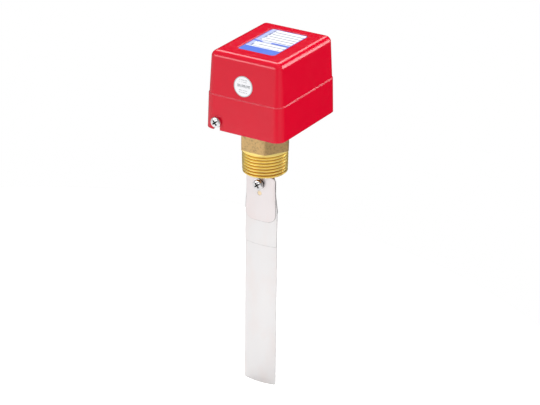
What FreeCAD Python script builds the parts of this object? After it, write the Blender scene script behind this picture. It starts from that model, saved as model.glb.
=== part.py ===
"""Paddle flow switch with an R1 pipe thread, as an assembly of its separate pieces.

Frame: origin on the axis of the pipe thread, at the shoulder under the hexagon. +Z points up to the cover,
-Y is the downstream side that the paddle swings to, and X is the pivot's direction. Millimetres.

From below, the paddle's three leaves hang on a stem that passes through a bellows in the brass fitting.
The stem ends in a block that turns on a cross pin between the cheeks of a bracket. A rocker on the block
carries the range spring in front and works a snap switch behind. A red cover stands over all this and
lifts straight up.
"""
import FreeCAD, Part
import math
import os
from FreeCAD import Vector

os.makedirs("parts", exist_ok=True)

# ---- Driving dimensions --------------------------------------------------------------------------

# Pipe fitting: R1 taper thread drawn at its gauge radius, hexagon above it
THREAD_R = 16.6
THREAD_LENGTH = 17.5
NECK_R = 16.45
NECK_LENGTH = 2.0
HEX_FLATS = 33.6
HEX_TOP = 20.2
HEX_FOOT_LEDGE = 0.2
THREAD_BEVEL = 1.2
BORE_R = 8.5
CHAMBER_R = 10.6
CHAMBER_FLOOR = -2.5
COUNTERBORE_R = 11.4
SPIGOT_R = 12.6
SPIGOT_HEIGHT = 3.0
GASKET_THICKNESS = 0.8
GASKET_FLATS = HEX_FLATS - 1.0
FITTING_SCREW_X = 8.8
FITTING_SCREW_Y = 13.2
FITTING_SCREW_REACH = 6.0

# Sheet metal
PLATE_THICKNESS = 1.2
BRACKET_THICKNESS = 1.5
SWITCH_PLATE_THICKNESS = 1.5
SWITCH_PLATE_HALF_WIDTH = 18.5
SWITCH_FOOT_REAR = 17.5
SWITCH_BEND_R = 0.7
SWITCH_PLATE_CORNER_R = 2.0
GROUND_FROM_SIDE = 8.4
GROUND_FROM_REAR = 11.5
GROUND_BOSS_R = 4.5
GROUND_BOSS_HEIGHT = 2.6
GROUND_WASHER_THICKNESS = 0.8
ROCKER_THICKNESS = 2.0

# Cover, outside
COVER_WIDTH = 62.4
COVER_DEPTH = 78.4
COVER_CENTRE_Y = 7.5
COVER_BOTTOM = 20.0
COVER_TOP = 77.0
COVER_STEP_Z = 45.7
COVER_SKIRT_DRAFT = 0.7
COVER_STEP = 0.5
COVER_UPPER_DRAFT = 1.7
COVER_CORNER_R = 7.0
COVER_EDGE_R = 4.5
COVER_WALL = 2.2
COVER_CLEARANCE = 0.6
COVER_TAPER_ROOM = 2.0
COVER_RIB_THICKNESS = 1.6
COVER_RIB_DEPTH = 2.4
COVER_RIB_FROM_END = 16.5
COVER_SLOT_WIDTH = 5.2
COVER_SCREW_FROM_SIDE = 10.5
COVER_SCREW_Z = 26.0
COVER_SCREW_GRIP = 3.0

# Label pocket in the cover's top, and the two labels
POCKET_WIDTH = 30.6
POCKET_LENGTH = 48.4
POCKET_OFFSET_Y = 1.7
POCKET_DEPTH = 0.8
POCKET_CORNER_R = 3.0
LABEL_MARGIN = 0.6
LABEL_THICKNESS = 0.3
ROUND_LABEL_R = 7.5
ROUND_LABEL_Z = 56.2

# Base plate's flanges and the cable entry
FLANGE_FROM_SIDE = 3.4
FLANGE_CORNER_R = 4.0
FRONT_FLANGE_TOP = 37.0
REAR_FLANGE_TOP = 52.0
PLATE_BEND_R = 2.0
GROMMET_Z = 36.5
GROMMET_BORE_R = 4.5
GROMMET_NECK_R = 10.0
GROMMET_COLLAR_R = 12.0
GROMMET_INNER_LENGTH = 2.5
GROMMET_PROUD = 1.6
GROMMET_LIP = 1.0

# Pivot, swing and stem
PIVOT_Z = 36.0
SWING_DEG = 5.0
PIVOT_R = 2.0
PIN_HEAD_RIM = 1.4
PIN_HEAD_THICKNESS = 1.4
PIN_GROOVE_DEPTH = 0.4
PIN_GROOVE_WIDTH = 0.9
PIN_TIP = 1.3
CLIP_RIM = 1.8
CLIP_THICKNESS = 0.75
CLIP_MOUTH = 1.5
SPACER_WALL = 1.6
STEM_COVER = 1.0
STEM_R = 3.0
STEM_BOTTOM = -34.0
BLOCK_WIDTH = 11.6
BLOCK_DEPTH = 12.0
BLOCK_BOTTOM = 30.0
BLOCK_TOP = 46.5
BLOCK_EDGE_R = 1.0
BLOCK_TAP_DEPTH = 6.0

# Bracket over the pivot: a hat section with a tower at the front
BRACKET_INNER_HALF = 13.0
BRACKET_FRONT = -17.5
BRACKET_TOWER_REAR = -6.5
BRACKET_REAR = 6.5
BRACKET_CHEEK_TOP = 43.0
BRACKET_WEB_BOTTOM = 61.5
BRACKET_FOOT = 8.5
BRACKET_BEND_R = 1.5
BRACKET_SCREW_PLACES = (-13.0, 2.0)
STOP_PIN_R = 2.0
STOP_PIN_Y = -11.0
STOP_PIN_PROUD = 0.8
BRACKET_NOTCH_R = 3.0

# Rocker on the block
ROCKER_FRONT = -17.0
ROCKER_REAR = 18.2
ROCKER_INNER_WIDTH = 12.0
ROCKER_BEND_R = 0.8
ROCKER_TAIL_WIDTH = 8.0
ROCKER_SHOULDER = 1.0
ROCKER_CORNER_R = 2.5
ROCKER_EAR_DROP = 4.0
ROCKER_EAR_REACH = 7.0
ACTUATOR_PROUD = 5.5
ACTUATOR_SLOT_WIDTH = 0.6
ACTUATOR_SLOT_DEPTH = 1.0
ACTUATOR_NUT_FLATS = 5.5
ACTUATOR_NUT_HEIGHT = 2.4
SEAT_BOSS_R = 3.0
SEAT_BOSS_HEIGHT = 1.2

# Range spring and its adjusting screw
SPRING_Y = -11.5
SPRING_WIRE_R = 0.6
SPRING_MEAN_R = 4.2
SPRING_TURNS = 4.5
SPRING_LENGTH = 9.5
CUP_R = 5.6
CUP_THICKNESS = 1.6
CENTRING_R = 3.2
CENTRING_HEIGHT = 1.5
RANGE_SCREW_R = 2.5
RANGE_HEAD_R = 4.25
RANGE_HEAD_HEIGHT = 3.0
RANGE_SOCKET_DEPTH = 0.8
RANGE_SLOT_WIDTH = 1.2
RANGE_SLOT_DEPTH = 1.6
RANGE_TRAVEL = 1.5
RANGE_NUT_FLATS = 8.0
RANGE_NUT_HEIGHT = 2.6

# Snap switch
SWITCH_LEFT = -17.5
SWITCH_RIGHT = 10.3
SWITCH_DEPTH = 10.3
SWITCH_FRONT = 9.6
SWITCH_BOTTOM = 26.5
SWITCH_HEIGHT = 15.9
SWITCH_EDGE_R = 1.0
SWITCH_FLOOR = 1.0
SWITCH_HOLE_R = 1.6
SWITCH_HOLE_Z = 38.9
SWITCH_HOLE_PLACES = (-14.4, 7.2)
PLUNGER_R = 1.5
PLUNGER_PROUD = 1.9
PLUNGER_LENGTH = 6.0
LEDGE_DEPTH = 8.4
LEDGE_HEIGHT = 6.5
LEDGE_BARRIER_HEIGHT = 3.0
LEDGE_BARRIER_THICKNESS = 1.4
TERMINAL_PLACES = (-13.0, -3.6, 5.8)
TERMINAL_WIDTH = 6.0
TERMINAL_THICKNESS = 0.8
TERMINAL_GAP = 0.3
TERMINAL_SCREW_REACH = 5.0

# Bellows
BELLOWS_FOLDS = 4
BELLOWS_BOTTOM = 1.5
BELLOWS_TOP = 19.0
BELLOWS_OUTER_R = 8.2
BELLOWS_INNER_R = 5.4
BELLOWS_WALL = 0.7
BELLOWS_FLANGE_R = 11.2
BELLOWS_FLANGE_THICKNESS = 0.8
BELLOWS_END_R = 6.4
BELLOWS_END_THICKNESS = 2.0
CLAMP_RING_R = 6.6
KEY_SLOT_WIDTH = 2.4
KEY_SLOT_DEPTH = 1.5

# Paddle
LEAF_THICKNESS = 0.3
LEAF_CURVE_R = 45.0
LEAF_CROWN_Y = -7.1
LEAF_TOP = -19.4
LEAF_NECK_WIDTH = 24.0
LEAF_WIDTH = 26.9
LEAF_NECK_END = -32.0
LEAF_SHOULDER_END = -45.0
LEAF_BOTTOMS = {"short": -54.5, "medium": -73.5, "long": -185.8}
SHORT_LEAF_WIDTH = 25.0
SHORT_LEAF_CORNER_R = 6.0
LEAF_CORNER_R = 1.0
LEAF_TOP_CORNER_R = 3.0
LEAF_PLAY = 0.08
HOLDER_WIDTH = 12.0
HOLDER_BACK = 4.6
HOLDER_BOTTOM = -37.5
HOLDER_CORNER_R = 1.5
HOLDER_RISE = 0.2
PADDLE_SCREW_Z = -25.5
LOCATING_PIN_Z = -32.8
LOCATING_PIN_R = 1.55
LOCATING_PIN_SUNK = 0.1
FLAT_WASHER = (4.5, 0.6)
SPRING_WASHER = (3.8, 0.9)
WASHER_SPLIT = 0.7

# Screws: thread radius, head radius, head height. Washers above: radius, thickness
M3 = (1.5, 2.8, 2.0)
M4 = (2.0, 4.0, 2.6)
CROWN_SHARE = 0.35
NUT_BEVEL_SHARE = 0.15

# Fits
RUNNING = 0.04
THREAD_PLAY = 0.05
SEAT = 0.05
CONTACT_GAP = 0.2
SCREW_HEAD_GAP = 0.15
HOLE_PLAY = 0.2
TIP_ROOM = 0.5

# Small bevels on turned ends and edges
BEVEL = 0.5
FINE_BEVEL = 0.3
PIN_BEVEL = 0.4

# How far a cutting shape runs past the face that it opens
PAST = 1.0

# ---- Places that follow from them ----------------------------------------------------------------

PLATE_BOTTOM = HEX_TOP + GASKET_THICKNESS
PLATE_TOP = PLATE_BOTTOM + PLATE_THICKNESS
COVER_FRONT = COVER_CENTRE_Y - COVER_DEPTH / 2
COVER_REAR = COVER_CENTRE_Y + COVER_DEPTH / 2
CAVITY_HALF_WIDTH = COVER_WIDTH / 2 - COVER_WALL
PLATE_HALF_WIDTH = CAVITY_HALF_WIDTH - COVER_CLEARANCE
FLANGE_HALF_WIDTH = PLATE_HALF_WIDTH - FLANGE_FROM_SIDE
COVER_SCREW_X = COVER_WIDTH / 2 - COVER_SCREW_FROM_SIDE
COVER_RIB_PLACES = (COVER_FRONT + COVER_RIB_FROM_END, COVER_REAR - COVER_RIB_FROM_END)
POCKET_CENTRE_Y = COVER_CENTRE_Y + POCKET_OFFSET_Y
GROUND_X = PLATE_HALF_WIDTH - GROUND_FROM_SIDE
PLATE_FRONT = COVER_FRONT + COVER_WALL + COVER_TAPER_ROOM
PLATE_REAR = COVER_REAR - COVER_WALL - COVER_TAPER_ROOM
GROUND_Y = PLATE_REAR - GROUND_FROM_REAR
CAVITY_TOP = COVER_TOP - COVER_WALL - POCKET_DEPTH
STEM_TOP = PIVOT_Z - PIVOT_R - STEM_COVER
ROCKER_TOP = BLOCK_TOP + ROCKER_THICKNESS
SPRING_TOP = ROCKER_TOP + SPRING_LENGTH
CUP_TOP = SPRING_TOP + CUP_THICKNESS
BRACKET_WEB_TOP = BRACKET_WEB_BOTTOM + BRACKET_THICKNESS
SWITCH_TOP = SWITCH_BOTTOM + SWITCH_HEIGHT
SWITCH_REAR = SWITCH_FRONT + SWITCH_DEPTH
PLUNGER_Y = SWITCH_FRONT + SWITCH_DEPTH / 2
PLUNGER_TOP = SWITCH_TOP + PLUNGER_PROUD
PLUNGER_TRAVEL = math.radians(SWING_DEG) * PLUNGER_Y
LEDGE_REAR = SWITCH_REAR + LEDGE_DEPTH
LEDGE_TOP = SWITCH_BOTTOM + LEDGE_HEIGHT
LEAF_AXIS_Y = LEAF_CROWN_Y + LEAF_CURVE_R
HOLDER_TOP = LEAF_TOP + HOLDER_RISE
HOLDER_FACE_R = LEAF_CURVE_R - 3 * LEAF_THICKNESS - 2 * LEAF_PLAY - SEAT
UPPER_SLOPE = math.atan2(COVER_UPPER_DRAFT, COVER_TOP - COVER_STEP_Z)


# ---- Shape helpers -------------------------------------------------------------------------------

def box(x0, x1, y0, y1, z0, z1):
    return Part.makeBox(x1 - x0, y1 - y0, z1 - z0, Vector(x0, y0, z0))


def cylinder(radius, start, end):
    """Solid cylinder between two points."""
    start, end = Vector(*start), Vector(*end)
    return Part.makeCylinder(radius, (end - start).Length, start, end - start)


def polygon(points):
    return Part.makePolygon([Vector(*p) for p in points] + [Vector(*points[0])])


def prism(points, direction):
    return Part.Face(polygon(points)).extrude(Vector(*direction))


def revolved(profile, x=0.0, y=0.0):
    """Turns a closed (radius, height) outline about the vertical line through x, y."""
    face = Part.Face(polygon([(r, 0, z) for r, z in profile]))
    solid = face.revolve(Vector(0, 0, 0), Vector(0, 0, 1), 360)
    return solid.translated(Vector(x, y, 0))


def rounded_rectangle(half_x, half_y, radius, z, centre_y=0.0, centre_x=0.0):
    """Closed wire of a rectangle with round corners, level at height z."""
    edges = []
    corners = ((1, 1, 0), (-1, 1, 90), (-1, -1, 180), (1, -1, 270))
    ends = []
    for sx, sy, angle in corners:
        centre = Vector(centre_x + sx * (half_x - radius), centre_y + sy * (half_y - radius), z)
        edge = Part.makeCircle(radius, centre, Vector(0, 0, 1), angle, angle + 90)
        ends.append((edge.valueAt(edge.FirstParameter), edge.valueAt(edge.LastParameter)))
        edges.append(edge)
    outline = []
    for i, edge in enumerate(edges):
        outline.append(edge)
        outline.append(Part.makeLine(ends[i][1], ends[(i + 1) % 4][0]))
    return Part.Wire(outline)


def rounded_plate(half_x, half_y, radius, z0, z1, centre_y=0.0, centre_x=0.0):
    face = Part.Face(rounded_rectangle(half_x, half_y, radius, z0, centre_y, centre_x))
    return face.extrude(Vector(0, 0, z1 - z0))


def sheet_section(points, thickness, bend_r, place):
    """Face of a bent sheet's section. The sheet lies to the left of the path, and place turns (u, v) into a
    point."""
    path = [Vector(u, v, 0) for u, v in points]
    near, far = [], []
    here = path[0]
    for before, corner, after in zip(path, path[1:], path[2:]):
        into = (corner - before).normalize()
        out = (after - corner).normalize()
        turn = 1 if into.x * out.y - into.y * out.x > 0 else -1
        radius = bend_r + thickness if turn > 0 else bend_r
        reach = radius * math.tan(into.getAngle(out) / 2)
        start, end = corner - into * reach, corner + out * reach
        centre = start + left_of(into) * (turn * radius)
        near.append((here, start))
        near.append((start, end, centre))
        far.append((left_of(into) * thickness + here, left_of(into) * thickness + start))
        far.append((left_of(into) * thickness + start, left_of(out) * thickness + end, centre))
        here = end
    last = (path[-1] - path[-2]).normalize()
    near.append((here, path[-1]))
    far.append((here + left_of(last) * thickness, path[-1] + left_of(last) * thickness))
    ends = [(near[-1][1], far[-1][1]), (near[0][0], far[0][0])]
    edges = [section_edge(run, place) for run in near + far + ends]
    return Part.Face(Part.Wire(Part.__sortEdges__(edges)))


def left_of(direction):
    return Vector(-direction.y, direction.x, 0)


def section_edge(run, place):
    """A straight run from its two ends, or an arc from its ends and centre."""
    start, end = run[0], run[1]
    if len(run) == 2:
        return Part.makeLine(place(start.x, start.y), place(end.x, end.y))
    centre = run[2]
    middle = centre + ((start - centre) + (end - centre)).normalize() * (start - centre).Length
    arc = Part.Arc(place(start.x, start.y), place(middle.x, middle.y), place(end.x, end.y))
    return arc.toShape()


def in_yz(u, v):
    return Vector(0, u, v)


def in_xz(u, v):
    return Vector(u, 0, v)


def round_edges(solid, radius, wanted):
    """Fillets the edges for which wanted(centre, direction) is true."""
    chosen = []
    for edge in solid.Edges:
        direction = (edge.Vertexes[-1].Point - edge.Vertexes[0].Point)
        if direction.Length > 1e-6 and wanted(edge.CenterOfMass, direction.normalize()):
            chosen.append(edge)
    return solid.makeFillet(radius, chosen)


def tube(inner, outer, z0, z1, x=0.0, y=0.0):
    """Plain upright ring."""
    return revolved([(inner, z0), (outer, z0), (outer, z1), (inner, z1)], x, y)


def drilled(radius, start, direction, depth):
    """Cutting cylinder for a hole of that depth, which runs past both faces."""
    way = Vector(*direction)
    return Part.makeCylinder(radius, depth + 2 * PAST, Vector(*start) - way * PAST, way)


def turned_to(solid, origin, axis):
    """Places a solid modelled along +Z so that it runs along axis from origin."""
    solid.Placement = FreeCAD.Placement(Vector(*origin), FreeCAD.Rotation(Vector(0, 0, 1), Vector(*axis)))
    return solid


def hexagon(flats, z0, z1):
    """Hexagonal prism with flats facing front and rear."""
    radius = flats / 2 / math.cos(math.pi / 6)
    corners = [(radius * math.cos(k * math.pi / 3), radius * math.sin(k * math.pi / 3), z0) for k in range(6)]
    return prism(corners, (0, 0, z1 - z0))


def hex_nut(flats, thread_r, z0, z1, x=0.0, y=0.0):
    nut = hexagon(flats, z0, z1)
    bevel = (z1 - z0) * NUT_BEVEL_SHARE
    full = flats / 2 / math.cos(math.pi / 6)
    shape = revolved([(thread_r, z0), (full - bevel, z0), (full, z0 + bevel), (full, z1 - bevel),
                      (full - bevel, z1), (thread_r, z1)])
    return nut.common(shape).translated(Vector(x, y, 0))


def pan_screw(size, reach, origin, axis):
    """Pan-head screw whose head seats at origin and whose shank runs against axis for reach."""
    thread_r, head_r, head_height = size
    crown = head_height * CROWN_SHARE
    outline = [(0, -reach), (thread_r, -reach), (thread_r, 0), (head_r, 0), (head_r, head_height - crown),
               (head_r - crown, head_height), (0, head_height)]
    return turned_to(revolved(outline), origin, axis)


def both(make):
    """One group of separate solids from make(side) on the +X and the -X side."""
    return Part.makeCompound([make(side) for side in (1, -1)])


def cut_all(solid, tools):
    for tool in tools:
        solid = solid.cut(tool)
    return solid


# ---- Brass fitting and its seal ------------------------------------------------------------------

def fitting_screw_places():
    return [(sx * FITTING_SCREW_X, sy * FITTING_SCREW_Y) for sx in (1, -1) for sy in (1, -1)]


def spigot_top():
    return PLATE_TOP + SPIGOT_HEIGHT


def pipe_fitting():
    corner = HEX_FLATS / 2 / math.cos(math.pi / 6)
    waist = HEX_FLATS / 2 - HEX_FOOT_LEDGE
    bevelled = revolved([(0, 0), (waist, 0), (corner, (corner - waist) * math.tan(math.pi / 6)),
                         (corner, HEX_TOP), (0, HEX_TOP)])
    body = hexagon(HEX_FLATS, 0, HEX_TOP).common(bevelled)
    turned = revolved([(0, -THREAD_LENGTH), (THREAD_R - THREAD_BEVEL, -THREAD_LENGTH),
                       (THREAD_R, -THREAD_LENGTH + THREAD_BEVEL), (THREAD_R, -NECK_LENGTH),
                       (NECK_R, -NECK_LENGTH), (NECK_R, PAST), (SPIGOT_R, PAST),
                       (SPIGOT_R, spigot_top()), (0, spigot_top())])
    hollow = revolved([(0, -THREAD_LENGTH - PAST), (BORE_R, -THREAD_LENGTH - PAST), (BORE_R, CHAMBER_FLOOR),
                       (CHAMBER_R, CHAMBER_FLOOR), (CHAMBER_R, BELLOWS_TOP), (COUNTERBORE_R, BELLOWS_TOP),
                       (COUNTERBORE_R, spigot_top() + PAST), (0, spigot_top() + PAST)])
    tapped = [cylinder(M3[0] + THREAD_PLAY, (x, y, HEX_TOP - FITTING_SCREW_REACH), (x, y, HEX_TOP + PAST))
               for x, y in fitting_screw_places()]
    return cut_all(body.fuse(turned).removeSplitter(), [hollow] + tapped)


def fitting_gasket():
    ring = hexagon(GASKET_FLATS, HEX_TOP, PLATE_BOTTOM)
    up = (0, 0, 1)
    holes = [drilled(M3[0] + HOLE_PLAY, (x, y, HEX_TOP), up, GASKET_THICKNESS)
             for x, y in fitting_screw_places()]
    holes.append(drilled(SPIGOT_R + HOLE_PLAY, (0, 0, HEX_TOP), up, GASKET_THICKNESS))
    return cut_all(ring, holes)


def fitting_screws():
    """The rear pair also holds down the foot of the switch plate."""
    screws = []
    for x, y in fitting_screw_places():
        seat = PLATE_TOP + (SWITCH_PLATE_THICKNESS if y > 0 else 0)
        screws.append(pan_screw(M3, seat - HEX_TOP + FITTING_SCREW_REACH - PAST, (x, y, seat), (0, 0, 1)))
    return Part.makeCompound(screws)


def bellows():
    """Thin folded tube, closed at its foot by the end plate and clamped at its rim."""
    steps = 2 * BELLOWS_FOLDS
    pitch = (BELLOWS_TOP - BELLOWS_BOTTOM) / steps
    outside = [(BELLOWS_OUTER_R if k % 2 else BELLOWS_INNER_R + BELLOWS_WALL, BELLOWS_BOTTOM + k * pitch)
               for k in range(steps + 1)]
    inside = [(r - BELLOWS_WALL, z) for r, z in reversed(outside)]
    rim = BELLOWS_TOP + BELLOWS_FLANGE_THICKNESS
    flange = [(BELLOWS_FLANGE_R, BELLOWS_TOP), (BELLOWS_FLANGE_R, rim), (BELLOWS_INNER_R, rim)]
    return revolved(outside + flange + inside)


def bellows_end():
    z0 = BELLOWS_BOTTOM - BELLOWS_END_THICKNESS
    return revolved([(STEM_R + SEAT, z0), (BELLOWS_END_R - BEVEL, z0), (BELLOWS_END_R, z0 + BEVEL),
                     (BELLOWS_END_R, BELLOWS_BOTTOM), (STEM_R + SEAT, BELLOWS_BOTTOM)])


def clamp_ring():
    """Threaded ring that holds the bellows' rim down, with two key slots on top."""
    z0 = BELLOWS_TOP + BELLOWS_FLANGE_THICKNESS
    ring = revolved([(CLAMP_RING_R, z0), (COUNTERBORE_R - SEAT, z0), (COUNTERBORE_R - SEAT, spigot_top()),
                     (CLAMP_RING_R, spigot_top())])
    slot = box(-COUNTERBORE_R, COUNTERBORE_R, -KEY_SLOT_WIDTH / 2, KEY_SLOT_WIDTH / 2,
               spigot_top() - KEY_SLOT_DEPTH, spigot_top() + PAST)
    return ring.cut(slot)


# ---- Base plate, bracket and pivot ---------------------------------------------------------------

def bracket_screw_places():
    x = BRACKET_INNER_HALF + BRACKET_THICKNESS + BRACKET_FOOT / 2
    return [(side * x, y) for side in (1, -1) for y in BRACKET_SCREW_PLACES]


def base_plate():
    """Pressed floor with a front flange for the cover's screw and a tall rear flange for the cable."""
    path = [(PLATE_FRONT, FRONT_FLANGE_TOP), (PLATE_FRONT, PLATE_BOTTOM), (PLATE_REAR, PLATE_BOTTOM),
            (PLATE_REAR, REAR_FLANGE_TOP)]
    section = sheet_section(path, PLATE_THICKNESS, PLATE_BEND_R, in_yz)
    plate = section.extrude(Vector(2 * PLATE_HALF_WIDTH, 0, 0)).translated(Vector(-PLATE_HALF_WIDTH, 0, 0))
    plan = rounded_plate(PLATE_HALF_WIDTH, (PLATE_REAR - PLATE_FRONT) / 2, COVER_CORNER_R - COVER_WALL,
                         PLATE_BOTTOM, REAR_FLANGE_TOP, (PLATE_FRONT + PLATE_REAR) / 2)
    plate = plate.common(plan)
    for side in (1, -1):
        edge = side * FLANGE_HALF_WIDTH
        far = side * (PLATE_HALF_WIDTH + PAST)
        plate = plate.cut(box(min(edge, far), max(edge, far), PLATE_FRONT - PAST, PLATE_REAR + PAST,
                              PLATE_TOP + PLATE_BEND_R, REAR_FLANGE_TOP + PAST))
    plate = round_edges(plate, FLANGE_CORNER_R, flange_corner)
    boss = cylinder(GROUND_BOSS_R, (GROUND_X, GROUND_Y, PLATE_BOTTOM),
                    (GROUND_X, GROUND_Y, PLATE_TOP + GROUND_BOSS_HEIGHT))
    plate = plate.fuse(boss)
    up = (0, 0, 1)
    holes = [drilled(SPIGOT_R + HOLE_PLAY, (0, 0, PLATE_BOTTOM), up, PLATE_THICKNESS)]
    holes += [drilled(M3[0] + HOLE_PLAY, (x, y, PLATE_BOTTOM), up, PLATE_THICKNESS)
              for x, y in fitting_screw_places()]
    holes += [drilled(M3[0] + THREAD_PLAY, (x, y, PLATE_BOTTOM), up, PLATE_THICKNESS)
              for x, y in bracket_screw_places()]
    holes.append(drilled(M4[0] + THREAD_PLAY, (GROUND_X, GROUND_Y, PLATE_BOTTOM), up,
                         PLATE_THICKNESS + GROUND_BOSS_HEIGHT))
    rear_face = PLATE_REAR - PLATE_THICKNESS
    holes.append(drilled(M4[0] + THREAD_PLAY, (-COVER_SCREW_X, PLATE_FRONT, COVER_SCREW_Z), (0, 1, 0),
                         PLATE_THICKNESS))
    holes.append(drilled(M4[0] + THREAD_PLAY, (COVER_SCREW_X, rear_face, COVER_SCREW_Z), (0, 1, 0),
                         PLATE_THICKNESS))
    holes.append(drilled(GROMMET_NECK_R + SEAT, (0, rear_face, GROMMET_Z), (0, 1, 0), PLATE_THICKNESS))
    return cut_all(plate, holes)


def flange_corner(centre, direction):
    at_side = abs(abs(centre.x) - FLANGE_HALF_WIDTH) < 0.01
    return abs(direction.y) > 0.99 and at_side and centre.z > FRONT_FLANGE_TOP - FLANGE_CORNER_R


def cable_grommet():
    """Rubber bush, grooved round the flange's hole, with its outer collar through the cover's notch."""
    inner = PLATE_REAR - PLATE_THICKNESS - GROMMET_INNER_LENGTH
    outer = COVER_REAR + GROMMET_PROUD
    groove = (PLATE_REAR - PLATE_THICKNESS - inner, PLATE_REAR - inner)
    length = outer - inner
    outline = [(GROMMET_BORE_R, 0), (GROMMET_COLLAR_R - GROMMET_LIP, 0), (GROMMET_COLLAR_R, groove[0]),
               (GROMMET_NECK_R, groove[0]), (GROMMET_NECK_R, groove[1]), (GROMMET_COLLAR_R, groove[1]),
               (GROMMET_COLLAR_R, length - GROMMET_LIP), (GROMMET_COLLAR_R - GROMMET_LIP, length),
               (GROMMET_BORE_R, length)]
    return turned_to(revolved(outline), (0, inner, GROMMET_Z), (0, 1, 0))


def ground_screw():
    seat = PLATE_TOP + GROUND_BOSS_HEIGHT + GROUND_WASHER_THICKNESS
    return pan_screw(M4, seat - PLATE_BOTTOM, (GROUND_X, GROUND_Y, seat), (0, 0, 1))


def ground_washer():
    z0 = PLATE_TOP + GROUND_BOSS_HEIGHT
    return tube(M4[0] + HOLE_PLAY, GROUND_BOSS_R, z0, z0 + GROUND_WASHER_THICKNESS, GROUND_X, GROUND_Y)


def chassis_bracket():
    """Hat section with feet. Its cheeks carry the pivot, and its front tower carries the range screw."""
    cheek = BRACKET_INNER_HALF
    foot = cheek + BRACKET_THICKNESS + BRACKET_FOOT
    web = BRACKET_WEB_BOTTOM
    path = [(-foot, PLATE_TOP), (-cheek, PLATE_TOP), (-cheek, web), (cheek, web), (cheek, PLATE_TOP),
            (foot, PLATE_TOP)]
    section = sheet_section(path, BRACKET_THICKNESS, BRACKET_BEND_R, in_xz)
    bracket = section.extrude(Vector(0, BRACKET_REAR - BRACKET_FRONT, 0))
    bracket = bracket.translated(Vector(0, BRACKET_FRONT, 0))
    notch = box(-foot, foot, BRACKET_TOWER_REAR, BRACKET_REAR + PAST, BRACKET_CHEEK_TOP,
                BRACKET_WEB_TOP + PAST)
    notch = round_edges(notch, BRACKET_NOTCH_R, notch_corner)
    across = 2 * foot
    holes = [drilled(M3[0] + HOLE_PLAY, (x, y, PLATE_TOP), (0, 0, 1), BRACKET_THICKNESS)
             for x, y in bracket_screw_places()]
    holes.append(drilled(PIVOT_R + SEAT, (-foot, 0, PIVOT_Z), (1, 0, 0), across))
    holes.append(drilled(STOP_PIN_R + SEAT, (-foot, STOP_PIN_Y, stop_pin_z()), (1, 0, 0), across))
    holes.append(drilled(RANGE_SCREW_R + HOLE_PLAY, (0, SPRING_Y, web), (0, 0, 1), BRACKET_THICKNESS))
    return cut_all(bracket.cut(notch), holes)


def notch_corner(centre, direction):
    return abs(direction.x) > 0.99 and centre.y < BRACKET_REAR and centre.z < BRACKET_WEB_TOP


def chassis_screws():
    seat = PLATE_TOP + BRACKET_THICKNESS
    return Part.makeCompound([pan_screw(M3, seat - PLATE_BOTTOM, (x, y, seat), (0, 0, 1))
                              for x, y in bracket_screw_places()])


def pivot_pin():
    """Headed cross pin, with a groove for its clip on the -X side."""
    outside = BRACKET_INNER_HALF + BRACKET_THICKNESS
    head = PIN_HEAD_THICKNESS
    rim = PIVOT_R + PIN_HEAD_RIM
    neck = PIVOT_R - PIN_GROOVE_DEPTH
    groove = head + 2 * outside
    tip = groove + PIN_GROOVE_WIDTH
    end = tip + PIN_TIP
    outline = [(0, 0), (rim, 0), (rim, head), (PIVOT_R, head), (PIVOT_R, groove), (neck, groove), (neck, tip),
               (PIVOT_R, tip), (PIVOT_R - FINE_BEVEL, end), (0, end)]
    return turned_to(revolved(outline), (outside + head, 0, PIVOT_Z), (-1, 0, 0))


def pivot_clip():
    """Open retaining ring in the pin's groove."""
    outside = BRACKET_INNER_HALF + BRACKET_THICKNESS
    outer = PIVOT_R + CLIP_RIM
    ring = tube(PIVOT_R - PIN_GROOVE_DEPTH + SEAT, outer, SEAT, SEAT + CLIP_THICKNESS)
    mouth = box(0, outer + PAST, -CLIP_MOUTH, CLIP_MOUTH, -PAST, CLIP_THICKNESS + PAST)
    return turned_to(ring.cut(mouth), (-outside, 0, PIVOT_Z), (-1, 0, 0))


def pivot_spacers():
    """Two tubes on the pin that keep the block in the middle."""
    def spacer(side):
        length = BRACKET_INNER_HALF - BLOCK_WIDTH / 2 - 2 * SEAT
        sleeve = tube(PIVOT_R + RUNNING, PIVOT_R + SPACER_WALL, 0, length)
        return turned_to(sleeve, (side * (BLOCK_WIDTH / 2 + SEAT), 0, PIVOT_Z), (side, 0, 0))
    return both(spacer)


def stop_pin_z():
    return BLOCK_TOP - CONTACT_GAP - STOP_PIN_R


def stop_pin():
    """Riveted cross pin under the rocker's front arm: it holds the paddle upright at rest."""
    half = BRACKET_INNER_HALF + BRACKET_THICKNESS + STOP_PIN_PROUD
    return cylinder(STOP_PIN_R, (-half, STOP_PIN_Y, stop_pin_z()), (half, STOP_PIN_Y, stop_pin_z()))


# ---- What turns about the pivot ------------------------------------------------------------------

def stem():
    end_r = STEM_R - PIN_BEVEL
    return revolved([(0, STEM_BOTTOM), (end_r, STEM_BOTTOM), (STEM_R, STEM_BOTTOM + PIN_BEVEL),
                     (STEM_R, STEM_TOP - PIN_BEVEL), (end_r, STEM_TOP), (0, STEM_TOP)])


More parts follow.
